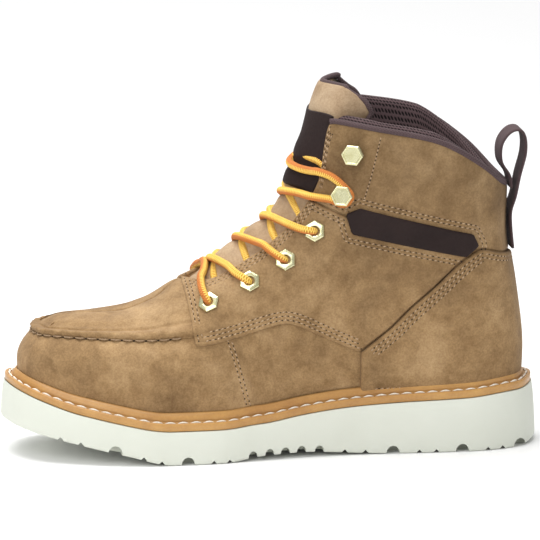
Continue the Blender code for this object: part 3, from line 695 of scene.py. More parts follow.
def lines_at(bm, layer, level, wanted):
    """The (t, v) lines along a cut where wanted(vert) holds, each in order."""
    beside = {}
    for edge in bm.edges:
        a, b = edge.verts
        if a[layer] == level == b[layer] and wanted(a) and wanted(b):
            beside.setdefault(a, []).append(b)
            beside.setdefault(b, []).append(a)
    lines, seen = [], set()
    for start in sorted(beside, key=lambda vert: (len(beside[vert]) != 1, vert.co.x, vert.co.y)):
        if start in seen:
            continue
        line, now = [], start
        while now is not None:
            seen.add(now)
            line.append((now.co.x, now.co.y))
            now = next((vert for vert in beside[now] if vert not in seen), None)
        if len(line) > 2:
            lines.append(line)
    return lines


def seam_spots(line, pitch, lift, phase=0.5):
    """(point, along, out) every pitch along a (t, v) line on the leather."""
    fine = [skin_point(t, v, lift) for t, v in line]
    lengths = lengths_along(fine)
    count = int(lengths[-1] / pitch)
    spots = []
    for n in range(count):
        k, share = step_at(lengths, (n + phase) * lengths[-1] / count)
        t = line[k][0] + (line[k + 1][0] - line[k][0]) * share
        v = line[k][1] + (line[k + 1][1] - line[k][1]) * share
        side, station = turn(1, t)
        spots.append((fine[k].lerp(fine[k + 1], share), (fine[k + 1] - fine[k]).normalized(),
                      normal(side, station, v)))
    return spots


def grains(spots, length, width, height, sink=0.0, shift=0.0, slant=0.0):
    """Small rounded beads lying along a seam, as stitches or as painted shade for its holes."""
    whole = bmesh.new()
    for first in range(0, len(spots), 60):
        bm = bmesh.new()
        for point, along, out in spots[first:first + 60]:
            across = out.cross(along).normalized()
            along = (along + across * slant).normalized()
            across = out.cross(along).normalized()
            shape = Matrix((along * length / 2, across * width / 2, out * height / 2))
            matrix = shape.transposed().to_4x4()
            matrix.translation = point + along * shift - out * sink
            bmesh.ops.create_icosphere(bm, subdivisions=1, radius=1, matrix=matrix)
        join(whole, bm)
    return whole


# Shader groups that several finishes share

def group(name, output, **inputs):
    """New group with a vector called Position or Map and numbers going in, and one number coming out."""
    made = bpy.data.node_groups.new(name, "ShaderNodeTree")
    for label, number in inputs.items():
        kind = "NodeSocketVector" if number is None else "NodeSocketFloat"
        socket = made.interface.new_socket(label, in_out="INPUT", socket_type=kind)
        if number is not None:
            socket.default_value = number
    made.interface.new_socket(output, in_out="OUTPUT", socket_type="NodeSocketFloat")
    enter, leave = made.nodes.new("NodeGroupInput"), made.nodes.new("NodeGroupOutput")
    return made, enter.outputs, leave.inputs[0]


def node(tree, kind, links=(), **settings):
    """Adds a node. settings are its properties, or its inputs where the name starts with in_."""
    made = tree.nodes.new("ShaderNode" + kind)
    for key, setting in settings.items():
        if key.startswith("in_"):
            index = key[3:]
            made.inputs[int(index) if index.isdigit() else index.replace("_", " ")].default_value = setting
        else:
            setattr(made, key, setting)
    for source, target in links:
        tree.links.new(source, made.inputs[target])
    return made


def ramp(tree, source, stops):
    made = node(tree, "ValToRGB", [(source, 0)])
    elements = made.color_ramp.elements
    while len(elements) < len(stops):
        elements.new(0.5)
    for element, (position, colour) in zip(elements, stops):
        element.position = position
        element.color = (*colour, 1) if isinstance(colour, tuple) else (colour, colour, colour, 1)
    return made.outputs["Color"]


def math_node(tree, operation, links, **settings):
    return node(tree, "Math", links, operation=operation, **settings).outputs[0]


def cloud_group():
    """Slow change over a surface, as a mask from 0 to 1."""
    made, enter, leave = group("soft cloud", "Mask", Position=None, Scale=30.0, Contrast=2.0)
    noise = node(made, "TexNoise", [(enter[0], "Vector"), (enter[1], "Scale")],
                 in_Detail=4.0, in_Roughness=0.6, in_Distortion=0.4)
    less = math_node(made, "SUBTRACT", [(noise.outputs[0], 0)], in_1=0.5)
    more = math_node(made, "MULTIPLY", [(less, 0), (enter[2], 1)])
    made.links.new(math_node(made, "ADD", [(more, 0)], in_1=0.5, use_clamp=True), leave)
    return made


def grain_group():
    """Fine pores and nap, as a height."""
    made, enter, leave = group("leather grain", "Height", Position=None, Scale=1500.0)
    nap = node(made, "TexNoise", [(enter[0], "Vector"), (enter[1], "Scale")],
               in_Detail=3.0, in_Roughness=0.7)
    half = math_node(made, "MULTIPLY", [(enter[1], 0)], in_1=0.45)
    pores = node(made, "TexVoronoi", [(enter[0], "Vector"), (half, "Scale")], feature="F1",
                 in_Randomness=1.0)
    made.links.new(math_node(made, "ADD", [(nap.outputs[0], 0), (pores.outputs[0], 1)]), leave)
    return made


def weave_group():
    """Threads over and under each other along two directions of a map, as a height."""
    made, enter, leave = group("plain weave", "Height", Map=None, Across=1000.0, Along=1000.0)
    split = node(made, "SeparateXYZ", [(enter[0], 0)])
    waves = []
    for axis, amount in ((0, 1), (1, 2)):
        scaled = math_node(made, "MULTIPLY", [(split.outputs[axis], 0), (enter[amount], 1)])
        waves.append(math_node(made, "SINE", [(scaled, 0)]))
    made.links.new(math_node(made, "MULTIPLY", [(waves[0], 0), (waves[1], 1)]), leave)
    return made


def mesh_group():
    """Open knit mesh of small round holes on a slightly jittered square grid, as a mask that is 1 in a hole.
    """
    made, enter, leave = group("knit mesh", "Hole", Map=None, Scale=500.0)
    cells = node(made, "TexVoronoi", [(enter[0], "Vector"), (enter[1], "Scale")],
                 feature="F1", voronoi_dimensions="2D", in_Randomness=0.12)
    hole = node(made, "MapRange", [(cells.outputs[0], 0)], interpolation_type="SMOOTHSTEP",
                in_1=0.42, in_2=0.22, in_3=0.0, in_4=1.0)
    made.links.new(hole.outputs[0], leave)
    return made


CLOUD, GRAIN, WEAVE, MESH = cloud_group(), grain_group(), weave_group(), mesh_group()


def use(tree, made, source, **values):
    """What a shader group gives for a place on the surface."""
    used = tree.nodes.new("ShaderNodeGroup")
    used.node_tree = made
    for label, setting in values.items():
        used.inputs[label].default_value = setting
    tree.links.new(source, used.inputs[0])
    return used.outputs[0]


def cloud(tree, source, scale, contrast):
    return use(tree, CLOUD, source, Scale=scale, Contrast=contrast)


def finish(name, roughness=0.7, metallic=0.0, **sockets):
    """New material: itself, its tree, its shader's inputs, and the place on the object and on the map."""
    made = bpy.data.materials.new(name)
    made.use_nodes = True
    tree = made.node_tree
    shader = tree.nodes["Principled BSDF"].inputs
    shader["Roughness"].default_value = roughness
    shader["Metallic"].default_value = metallic
    for label, setting in sockets.items():
        shader[label.replace("_", " ")].default_value = setting
    where = tree.nodes.new("ShaderNodeTexCoord").outputs
    return made, tree, shader, where["Object"], where["UV"]


def bump(tree, shader, height, strength, distance, below=None):
    made = node(tree, "Bump", [(height, "Height")], in_Strength=strength, in_Distance=distance)
    if below:
        tree.links.new(below, made.inputs["Normal"])
    tree.links.new(made.outputs[0], shader["Normal"])
    return made.outputs[0]


def mix(tree, share, first, second, mode="SOFT_LIGHT"):
    made = node(tree, "Mix", data_type="RGBA", blend_type=mode)
    for index, source in ((0, share), (6, first), (7, second)):
        if isinstance(source, (float, int)):
            made.inputs[index].default_value = source
        elif isinstance(source, tuple):
            made.inputs[index].default_value = (*source, 1)
        else:
            tree.links.new(source, made.inputs[index])
    return made.outputs[2]


def clouded(name, colours, slow, fine=None, rough=None, grain=None, height=None, mottle=0.0, reach=(0.0, 1.0),
            roughness=0.7, metallic=0.0, **sockets):
    """Material that changes slowly between two colours. slow and fine are the scale and contrast of its
    clouds, rough is its roughness over the fine ones, and mottle is how much they show in the colour.
    height is the strength and depth of its relief: grains of that scale, or else the fine clouds."""
    made, tree, shader, position, _ = finish(name, roughness, metallic, **sockets)
    colour = ramp(tree, cloud(tree, position, *slow), list(zip(reach, colours)))
    relief = cloud(tree, position, *fine) if fine else None
    if mottle:
        colour = mix(tree, mottle, colour, ramp(tree, relief, [(0.2, 0.3), (0.8, 1.0)]))
    tree.links.new(colour, shader["Base Color"])
    if rough:
        tree.links.new(ramp(tree, relief, list(zip((0.0, 1.0), rough))), shader["Roughness"])
    if grain:
        relief = use(tree, GRAIN, position, Scale=grain)
    if height:
        bump(tree, shader, relief, *height)
    return made


SHAFT_LOW, SHAFT_HIGH = 0.07, 0.16         # heights between which painted shade darkens the leather
SHAFT_SHADE_KEPT = 0.72         # painted shade: how much of its brightness the leather keeps at the shaft's top


def nubuck(name, dark, middle, pale):
    """Brushed leather: cloudy colour, pale where the hand has rubbed it, painted shade darkening it up the
    shaft, short nap.
    """
    made, tree, shader, position, _ = finish(name, 0.82, Sheen_Weight=0.05, Sheen_Roughness=0.5,
                                             Specular_IOR_Level=0.2)
    fine = cloud(tree, position, 120.0, 2.0)
    base = ramp(tree, cloud(tree, position, 26.0, 2.2), [(0.1, dark), (0.5, middle), (0.95, pale)])
    cloudy = mix(tree, 0.35, base, ramp(tree, fine, [(0.1, dark), (0.9, pale)]), "MIX")
    speck = ramp(tree, cloud(tree, position, 900.0, 2.6), [(0.2, 0.25), (0.8, 1.0)])
    # Painted shade: the colour is multiplied down with height, darkest at the shaft's top.
    height = node(tree, "SeparateXYZ", [(position, 0)]).outputs["Z"]
    shade = node(tree, "MapRange", [(height, 0)], in_1=SHAFT_LOW, in_2=SHAFT_HIGH, in_3=1.0, in_4=SHAFT_SHADE_KEPT)
    shaded_colour = node(tree, "VectorMath", [(mix(tree, 0.22, cloudy, speck), 0), (shade.outputs[0], 1)],
                 operation="MULTIPLY")
    tree.links.new(shaded_colour.outputs[0], shader["Base Color"])
    tree.links.new(ramp(tree, fine, [(0.0, 0.72), (1.0, 0.92)]), shader["Roughness"])
    low = bump(tree, shader, fine, 0.25, 0.0006)
    bump(tree, shader, use(tree, GRAIN, position, Scale=1500.0), 0.3, 0.00025, low)
    return made


def dark_mesh():
    """Collar lining: a coarse knit with small holes painted near black as shade, on the piece's own map."""
    made, tree, shader, position, surface = finish("plum mesh lining", 0.9, Sheen_Weight=0.04,
                                                   Specular_IOR_Level=0.2)
    hole = use(tree, MESH, surface, Scale=0.55)
    thread = ramp(tree, cloud(tree, position, 60.0, 1.5),
                  [(0.0, (0.088, 0.056, 0.058)), (1.0, (0.135, 0.088, 0.092))])
    # Painted shade: the knit's holes are filled with near-black.
    tree.links.new(mix(tree, hole, thread, (0.012, 0.008, 0.008), "MIX"), shader["Base Color"])
    bump(tree, shader, math_node(tree, "SUBTRACT", [(hole, 1)], in_0=1.0), 0.8, 0.0006)
    return made


def dark_webbing(name, threads, light, dark):
    """Plain woven tape on the piece's own map, painted darker as shade where its threads dip."""
    made, tree, shader, position, surface = finish(name, 0.85, Sheen_Weight=0.04, Specular_IOR_Level=0.2)
    woven = use(tree, WEAVE, surface, Across=threads, Along=threads)
    # Painted shade: the colour darkens where the weave's height is low.
    shade = math_node(tree, "MULTIPLY_ADD", [(woven, 0)], in_1=0.35, in_2=0.5)
    worn = ramp(tree, cloud(tree, position, 90.0, 1.4), [(0.0, 0.4), (1.0, 1.0)])
    tree.links.new(mix(tree, 0.3, ramp(tree, shade, [(0.1, dark), (0.9, light)]), worn),
                   shader["Base Color"])
    bump(tree, shader, woven, 0.5, 0.0003)
    return made


BRAID_YARNS = 5.2         # turn of the braid's yarns for a millimetre along the lace


def braided_lace():
    """Round braid: gold yarns with painted shade in the hollows between them, a rust run and rust ticks
    beside it. The map runs along the lace in millimetres and once round it."""
    made, tree, shader, _, surface = finish("gold braid", 0.72, Sheen_Weight=0.04, Specular_IOR_Level=0.25)
    split = node(tree, "SeparateXYZ", [(surface, 0)])
    along, around = split.outputs[0], split.outputs[1]

    def wave(turns):
        a = math_node(tree, "MULTIPLY", [(along, 0)], in_1=BRAID_YARNS)
        b = math_node(tree, "MULTIPLY_ADD", [(around, 0), (a, 2)], in_1=2 * math.pi * turns)
        return math_node(tree, "SINE", [(b, 0)])

    def step(source, start, end):
        return node(tree, "MapRange", [(source, 0)], in_1=start, in_2=end, in_3=0.0, in_4=1.0).outputs[0]

    yarn = math_node(tree, "MAXIMUM", [(wave(3), 0), (wave(-3), 1)])
    face = math_node(tree, "COSINE", [(math_node(tree, "MULTIPLY", [(around, 0)], in_1=2 * math.pi), 0)])
    beside = math_node(tree, "MULTIPLY", [(step(face, 0.25, 0.45), 0), (step(wave(1), 0.2, 0.5), 1)])
    rust = math_node(tree, "MAXIMUM", [(step(face, 0.62, 0.74), 0), (beside, 1)])
    # Painted shade: the gold grows darker where the yarns' relief is low.
    shaded_gold = ramp(tree, yarn, [(0.1, (0.62, 0.30, 0.03)), (0.9, (0.98, 0.68, 0.15))])
    tree.links.new(mix(tree, rust, shaded_gold, (0.58, 0.19, 0.04), "MIX"), shader["Base Color"])
    bump(tree, shader, yarn, 0.6, 0.0004)
    return made


def thread_finish(name, dark, pale, roughness=0.7):
    return clouded(name, (dark, pale), (900.0, 2.0), grain=3000.0, height=(0.3, 0.0001), reach=(0.1, 0.9),
                   roughness=roughness)


LEATHER = nubuck("taupe nubuck", (0.155, 0.088, 0.036), (0.265, 0.158, 0.068), (0.44, 0.288, 0.145))
SUEDE = nubuck("tongue suede", (0.27, 0.175, 0.095), (0.41, 0.275, 0.16), (0.56, 0.41, 0.26))
WELT = clouded("caramel welt", ((0.36, 0.170, 0.045), (0.54, 0.295, 0.085)), (40.0, 1.6), (700.0, 1.6),
               (0.36, 0.5), 1100.0, (0.12, 0.0001), 0.15, (0.1, 0.9), 0.42, Coat_Weight=0.15,
               Coat_Roughness=0.3)
CREAM = clouded("cream sole", ((0.59, 0.61, 0.53), (0.67, 0.69, 0.615)), (22.0, 1.2), (1400.0, 1.6),
                (0.5, 0.68), height=(0.22, 0.00012), roughness=0.55)
LINING = dark_mesh()
WEBBING = dark_webbing("plum webbing", 5500.0, (0.10, 0.064, 0.066), (0.045, 0.028, 0.030))
PIPING = dark_webbing("plum piping", 4200.0, (0.105, 0.070, 0.072), (0.05, 0.032, 0.034))
PATCH = clouded("plum patch", ((0.013, 0.0065, 0.006), (0.024, 0.013, 0.0115)), (45.0, 1.5), (500.0, 1.8),
                (0.55, 0.75), 1400.0, (0.25, 0.00015), roughness=0.62, Specular_IOR_Level=0.2)
GOLD = clouded("pale gold metal", ((0.62, 0.58, 0.30), (0.84, 0.82, 0.54)), (160.0, 1.5), (2500.0, 1.2),
               (0.16, 0.34), height=(0.05, 0.00005), roughness=0.22, metallic=1.0)
BRAID = braided_lace()
TAN_THREAD = thread_finish("tan thread", (0.30, 0.195, 0.11), (0.52, 0.37, 0.23))
BROWN_THREAD = thread_finish("brown thread", (0.19, 0.12, 0.065), (0.36, 0.24, 0.135))
CREAM_THREAD = thread_finish("cream thread", (0.72, 0.66, 0.55), (0.90, 0.87, 0.80), 0.6)
# Painted shade: near-black beads laid on the seams where the needle holes fall.
HOLE_SHADE = thread_finish("needle hole shade", (0.018, 0.010, 0.006), (0.05, 0.028, 0.016), 0.95)
BOARD = clouded("insole board", ((0.10, 0.068, 0.062), (0.16, 0.11, 0.10)), (80.0, 1.8), grain=900.0,
                height=(0.4, 0.0003), roughness=0.92)


# Upper

MOC_LOW, MOC_HIGH = 2.0, 2.7    # rows of the wall between which the rolled seam stands
MOC_STITCH = 0.0069       # pitch of the moc seam's stitches
MOC_LAST = 5.6            # station where the moc seam has run under the quarters


@lru_cache(maxsize=None)
def moc_marks():
    """Length of the moc seam from the toe tip back to each hundredth of a station."""
    return lengths_along([wall(1, k / 100, MOC_LOW) for k in range(100 * (RIDGE_END + 2) + 1)])


def moc_roll(t, v, groove=True):
    """The rolled seam over the vamp: steep where it overhangs the side, puckered between its stitches, with
    a groove on its inner side."""
    station = station_of(t)
    fade = smooth((MOC_LAST + STEP - station) / STEP)
    u = (v - MOC_LOW) / (MOC_HIGH - MOC_LOW)
    if u > 1.4 or u < -0.5 or fade <= 0:
        return 0.0
    marks = moc_marks()
    along = marks[min(int(station * 100), len(marks) - 1)] / MOC_STITCH
    pucker = 0.5 + 0.5 * math.cos(2 * math.pi * along)
    if u < 0.18:
        bead = roll(u / 0.18) if u > 0 else 0.0
    elif u < 0.60:
        bead = (1 + math.cos(math.pi * (u - 0.18) / 0.42)) / 2
    else:
        bead = 0.0
    lift = MOC_RISE * bead * (1 - 0.16 * pucker)
    if groove:
        lift -= 0.0008 * math.exp(-(u / 0.09) ** 2) + 0.0007 * math.exp(-((u - 0.62) / 0.10) ** 2)
        lift -= 0.0004 * pucker * math.exp(-((u + 0.16) / 0.12) ** 2)
        lift -= 0.0005 * smooth((u - 0.6) / 0.4) * smooth((1.4 - u) / 0.4)
    return lift * fade


def vamp_edge(t, v):
    """How much of the step down behind the vamp's rear edge lies at a point, 0 on the vamp and 1 behind."""
    point = skin_point(t, v)
    (x0, z0), (x1, z1) = VAMP_REAR
    behind = x0 + (x1 - x0) * (z0 - point.z) / (z0 - z1) - point.x
    return smooth(behind / 0.0009)


UPPER_ROWS = ([0.1 * k for k in range(18)] + [1.8 + 0.02 * k for k in range(50)]
              + [2.8 + 0.06 * k for k in range(20)] + [4.0])
LINING_ROWS = [4.0, 3.85, 3.6, 3.3, 3.0, 2.6, 2.2, 1.8, 1.4, 1.0, 0.6, 0.3, 0.0]
UPPER_COLUMNS = 560
CROWN_ROUND = 0.007       # how far to each side the vamp's crown is rounded over


def rounded(t, v):
    """How far the vamp's crown is let down at a point to round it over the middle."""
    station = station_of(t)
    fade = smooth((5.0 - station) / 0.8) * smooth((station - 1.2) / 1.2) * smooth((v - 3.0) / 0.3)
    if fade <= 0:
        return 0.0
    top, beside, point = skin_point(t, TOP), skin_point(t, 3.5), skin_point(t, v)
    slope = max(top.z - beside.z, 0) / max(abs(top.y - beside.y), 0.002)
    away = abs(point.y - top.y)
    return min(slope, 0.35) * (math.hypot(away, CROWN_ROUND) - away) * fade


def build_upper():
    rows = [(v, True) for v in UPPER_ROWS] + [(v, False) for v in LINING_ROWS]

    def place(i, j):
        t = ROUND * i / UPPER_COLUMNS
        v, outer = rows[j]
        if not outer:
            side, station = turn(1, t)
            down = smooth((v - 2.0) / 0.8) * smooth((RIDGE_END + 1 - station) / 1.0)
            under = normal(side, station, v).lerp(UP, down).normalized()
            return wall(side, station, v) - under * (WALL + 0.0008 * down)
        lift = moc_roll(t, v)
        if v < 2.4 and 5 < station_of(t) < 12:
            lift -= VAMP_STEP * vamp_edge(t, v)
        return skin_point(t, v, lift) - UP * rounded(t, v)

    def leave_out(i, j):
        station = max(station_of(ROUND * k / UPPER_COLUMNS) for k in (i, i + 1))
        return j == len(UPPER_ROWS) - 1 and station <= RIDGE_END

    bm = skin(UPPER_COLUMNS, len(rows), place, True, True, leave_out,
              finish_of=lambda i, j: 0 if j < len(UPPER_ROWS) else 1)
    piece("boot_upper", bm, (LEATHER, BOARD), ("upper",))


# Panels. A seam row has its distance from an edge, where it starts and ends, and the edge it follows: the
# panel's own or the badge's, with the outline's points passed, or the top one, with stations.

PANEL_STEP = 0.055        # stations between a panel's columns
PANEL_ROWS = 100
EDGE_ROLL = 0.0013        # how far in a panel's rounded edge reaches
EDGE_CUTS = (0.08, 0.3, 0.65, 1.0)         # shares of it where the panel has a ring of corners
THIN_EDGE = 0.06          # thickness left at the edge, as a share of the panel's
FAR_OUT = -0.004          # faces this far outside a panel are dropped before it is cut
SEAM_PITCH = 0.0033
SEAM_DIP = 0.00022        # how far a seam draws the leather in
THREAD_SHARE, THREAD_SLANT = 0.60, 0.40    # length of a stitch as a share of the pitch, and its slant
THREAD_SIZE = (0.00085, 0.0008)            # width and height
HOLE_SHARE, HOLE_LENGTH = 0.42, 0.0012
HOLE_SIZE = (0.00105, 0.0005)


def build_panel(name, node_name, edge, sharp, first, last, lift, thick, seams, under=0.0,
                finish_used=LEATHER):
    """Panel of leather with a rounded edge. Returns its seams as (t, v) lines with their lift."""
    columns = round((last - first) / PANEL_STEP)
    bm = grid(columns, PANEL_ROWS, last - first, TOP)
    bmesh.ops.translate(bm, verts=bm.verts, vec=(first, 0, 0))
    outline_points = smooth_outline(side_view(edge), sharp)
    badge_points = smooth_outline(side_view(PATCH_EDGE), range(len(PATCH_EDGE)))
    layers = {label: bm.verts.layers.float.new(label)
              for label in ("edge", "place", "top", "inside", "badge", "badge_place")}

    def measure(verts):
        walls = [skin_point(vert.co.x, vert.co.y) for vert in verts]
        away, place = inside_by(outline_points, [(p.x, p.z) for p in walls])
        beside, badge_place = inside_by(badge_points, [(p.x, p.z) for p in walls])
        for vert, p, d, s, near, along in zip(verts, walls, away, place, beside, badge_place):
            top = (skin_point(vert.co.x, TOP) - p).length
            vert[layers["edge"]], vert[layers["place"]] = d, s
            vert[layers["badge"]], vert[layers["badge_place"]] = -near, along
            vert[layers["top"]], vert[layers["inside"]] = top, min(d, top)

    bm.verts.ensure_lookup_table()
    measure(list(bm.verts))
    inside = layers["inside"]
    far = [face for face in bm.faces if all(vert[inside] < FAR_OUT for vert in face.verts)]
    bmesh.ops.delete(bm, geom=far, context="FACES")
    cut_at(bm, inside, 0.0)
    outer = [face for face in bm.faces if min(vert[inside] for vert in face.verts) < -1e-6]
    bmesh.ops.delete(bm, geom=outer, context="FACES")
    for share in EDGE_CUTS:
        cut_at(bm, inside, EDGE_ROLL * share)
    found = []
    runs = {"edge": layers["place"], "badge": layers["badge_place"]}
    for distance, start, end, beside in seams:
        layer = layers[beside]
        level = cut_at(bm, layer, distance)

        def wanted(vert, beside=beside, start=start, end=end):
            if vert[inside] < EDGE_ROLL * 0.9:
                return False
            return start <= (vert[runs[beside]] if beside in runs else vert.co.x) <= end

        found += lines_at(bm, layer, level, wanted)
    spots = {spot for line in found for spot in line}
    doubled(bm)
    for vert in bm.verts:
        t, v, upper_face = vert.co
        if upper_face > 0.5:
            height = lift + max(thick * roll(vert[inside] / EDGE_ROLL), thick * THIN_EDGE)
            if (t, v) in spots:
                height -= SEAM_DIP
        else:
            height = lift + under
        vert.co = skin_point(t, v, height + moc_roll(t, v, False))
    face_out(bm)
    piece(name, bm, (finish_used,), (node_name,))
    return [(line, lift + thick - SEAM_DIP) for line in found]


def sew(name, seams, pitch=SEAM_PITCH):
    """Thread, and painted shade for the needle holes, along all the seams of a panel, staggered from one row
    to the next.
    """
    threads, holes = bmesh.new(), bmesh.new()
    for k, (line, lift) in enumerate(seams):
        spots = seam_spots(line, pitch, lift, 0.5 if k % 2 else 0.98)
        join(threads, grains(spots, pitch * THREAD_SHARE, *THREAD_SIZE, -0.00008, 0.0, THREAD_SLANT))
        join(holes, grains(spots, min(pitch * HOLE_SHARE, HOLE_LENGTH), *HOLE_SIZE, -0.00004, pitch / 2))
    piece(name + "_thread", threads, (TAN_THREAD,))
    piece(name + "_hole_shade", holes, (HOLE_SHADE,))


def wall_place(side, x, z):
    """(t, v) of the leather's point at x and z in the side view."""
    low, high = (RIDGE_END, LAST) if side > 0 else (ROUND - RIDGE_END, LAST)
    v = 2.0
    for _ in range(6):
        near, far = float(low), float(high)
        for _ in range(16):
            t = (near + far) / 2
            if skin_point(t, v).x > x:
                near = t
            else:
                far = t
        bottom, top = 0.0, TOP
        for _ in range(16):
            v = (bottom + top) / 2
            if skin_point(t, v).z < z:
                bottom = v
            else:
                top = v
    return t, v


def free_seam(side, points, lift):
    """Seam through (x, z) points that follows no edge."""
    line = even_line([Vector((x, 0, z)) for x, z in points], 0.003)
    return [wall_place(side, point.x, point.z) for point in line], lift


ROWS_BESIDE = (0.0022, 0.0044, 0.0066)     # seam rows, in from an edge
BADGE_ROWS = (0.0028, 0.0050)              # seam rows round the badge
SHAFT_ROW = ((0.0499, 0.1845), (0.0548, 0.1625), (0.0592, 0.1478))


def both_ways(seams):
    """Rows along the top edge, for the outer side and the inner side."""
    return seams + [(d, ROUND - end, ROUND - start, beside) for d, start, end, beside in seams]


def build_panels():
    two, three = ROWS_BESIDE[:2], ROWS_BESIDE

    def rows(distances, start, end, beside="edge"):
        return [(d, start, end, beside) for d in distances]

    edge = rows(three, 2.0, 9.0) + rows(two, 0.2, 2.0) + rows(two, 16.0, 18.2)
    throat = rows(three, 5.4, 8.9, "top")
    corners = (0, 2, 9, 15, 18)
    seams = build_panel("quarter_panel_outer", "quarter_outer", QUARTER_EDGE, corners, 5.1, HEEL, GAP,
                        QUARTER_THICK, edge + throat + rows(BADGE_ROWS, 3.95, 6.0, "badge"), -VAMP_STEP)
    seams += build_panel("quarter_panel_inner", "quarter_inner", QUARTER_EDGE, corners, HEEL, ROUND - 5.1,
                         GAP, QUARTER_THICK, edge + both_ways(throat)[len(throat):], -VAMP_STEP)
    sew("quarter_seam", seams)
    edge = both_ways(rows(three, 8.95, 9.9, "top")) + rows(two, 0.0, 1.6)
    edge += rows(BADGE_ROWS, 0.0, 3.6, "badge")
    sew("collar_seam", build_panel("collar_panel", "shaft_panel", SHAFT_EDGE, (0, 2, 3, 4, 5, 9), 7.5,
                                   ROUND - 7.5, GAP, SHAFT_THICK, edge))
    sunk = -0.0001
    sew("shaft_seam", [free_seam(side, SHAFT_ROW, GAP + SHAFT_THICK + sunk) for side in (1, -1)], 0.0023)
    sew("vamp_seam", [free_seam(side, [(x + away, z) for x, z in VAMP_SEAM], sunk)
                      for side in (1, -1) for away in two])
    counter = list(COUNTER_EDGE) + [(-0.05, 0.0), (0.344, 0.0)]
    edge = rows(three, 0.0, 6.0) + rows(two, 6.0, 8.9) + rows(three, 10.0, 11.0)
    sew("counter_seam", build_panel("heel_counter", "counter", counter, (0, 9, 10, 11), 9.0, ROUND - 9.0,
                                    GAP, COUNTER_THICK, edge, -VAMP_STEP))
    build_panel("plain_badge", "side_patch", PATCH_EDGE, (0, 1, 2, 3, 4, 5), 8.0, HEEL,
                2 * GAP + QUARTER_THICK, PATCH_THICK, (), finish_used=PATCH)


# Sole, welt and their stitches

SOLE_COLUMNS = 180
# The sole's side: how far in from the outline, and share of the way up from the underside
SOLE_SIDE = ((SOLE_FLARE + 0.0022, 1.0), (SOLE_FLARE + 0.0004, 1.0), (SOLE_FLARE, 0.985),
             (SOLE_FLARE * 0.55, 0.80), (SOLE_FLARE * 0.25, 0.55), (SOLE_FLARE * 0.05, 0.3), (0.0, 0.12))


def sole_edge(side, t):
    """Edge of the sole from its top to its underside, on one side."""
    low, out = outline(side, t), outward(side, t)
    bottom, top = sole_bottom(low.x), sole_top(low.x)
    points = []
    for depth, share in SOLE_SIDE:
        point = low - out * depth
        point.z = sole_top(point.x) if share == 1.0 else bottom + (top - bottom) * share
        points.append(point)
    for depth, rise in ((0.0, 1.0), (0.25, 0.35), (0.7, 0.05), (1.3, 0.0)):
        point = low - out * SOLE_CHAMFER * depth
        point.z = sole_bottom(point.x) + SOLE_CHAMFER * rise
        points.append(point)
    return points


def build_sole():
    rows = 2 * len(sole_edge(1, 0.0))

    def place(i, j):
        t = LAST * i / SOLE_COLUMNS
        return (sole_edge(1, t) + sole_edge(-1, t)[::-1])[j]

    body = piece("sole_body", skin(SOLE_COLUMNS, rows, place, over=True), (CREAM,), ("wedge_sole",))
    bm = bmesh.new()
    for kind, places in NOTCHES:
        sides, half_width, depth = NOTCH_KINDS[kind]
        for share in places:
            for side in (1, -1):
                edge = outline(side, station_at(side, x_at(share)))
                made = bmesh.ops.create_cone(bm, cap_ends=True, segments=sides, radius1=1, radius2=1,
                                             depth=1)
                for vert in made["verts"]:
                    reach = vert.co.z * NOTCH_REACH * 2
                    across, rise = vert.co.x * half_width, vert.co.y * depth
                    vert.co = Vector((edge.x + across, edge.y + reach, sole_bottom(edge.x) + rise))
    face_out(bm)
    notch_mesh = mesh_of("edge_notches", bm)
    cutter = placed("edge_notches", notch_mesh)
    carve = body.modifiers.new("notches", "BOOLEAN")
    carve.object, carve.operation, carve.solver = cutter, "DIFFERENCE", "EXACT"
    bpy.context.view_layer.update()
    carved = bpy.data.meshes.new_from_object(body.evaluated_get(bpy.context.evaluated_depsgraph_get()))
    body.modifiers.clear()
    old, body.data = body.data, carved
    bpy.data.meshes.remove(old)
    bpy.data.objects.remove(cutter)
    bpy.data.meshes.remove(notch_mesh)
    carved.shade_smooth()
    carved.set_sharp_from_angle(angle=math.radians(35))


WELT_EDGE = SOLE_FLARE + WELT_STEP
STITCH_DEPTH = 0.0026     # welt stitches, in from the welt's edge
WELT_STITCH = 0.0074      # their pitch
WELT_THREAD = 0.00055     # their radius
MOC_THREAD = 0.00045
WELT_COLUMNS = 360


@lru_cache(maxsize=None)
def welt_top(t, depth, rise):
    point = inset(1, t, WELT_EDGE + depth)
    point.z += rise
    return point


def build_welt():
    top = WELT_THICK + GAP
    flat = ((0.0006, GAP), (0.0, GAP + 0.0004), (0.0, top - 0.0007), (0.0002, top - 0.0002), (0.0007, top),
            (0.0017, top), (0.0021, top - 0.0005), (0.0031, top - 0.0005), (0.0035, top))
    bead = ((top + 0.0001, 1.05), (top + 0.0008, 1.12), (top + 0.0018, 1.08), (top + 0.0028, 0.92),
            (top + 0.0037, 0.66), (top + 0.0044, 0.36), (BEAD_RISE + GAP, 0.12), (BEAD_RISE - 0.0002, 0.0),
            (BEAD_RISE * 0.5, 0.0), (0.0, 0.0))
    rows = len(flat) + len(bead)

    def place(i, j):
        t = ROUND * i / WELT_COLUMNS
        if j < len(flat):
            return welt_top(t, *flat[j]).copy()
        rise, out = bead[j - len(flat)]
        side, station = turn(1, t)
        return lifted(side, station, row_at(side, station, rise), GAP + BEAD_WIDTH * out)

    piece("boot_welt", skin(WELT_COLUMNS, rows, place, True, True), (WELT,), ("welt",))


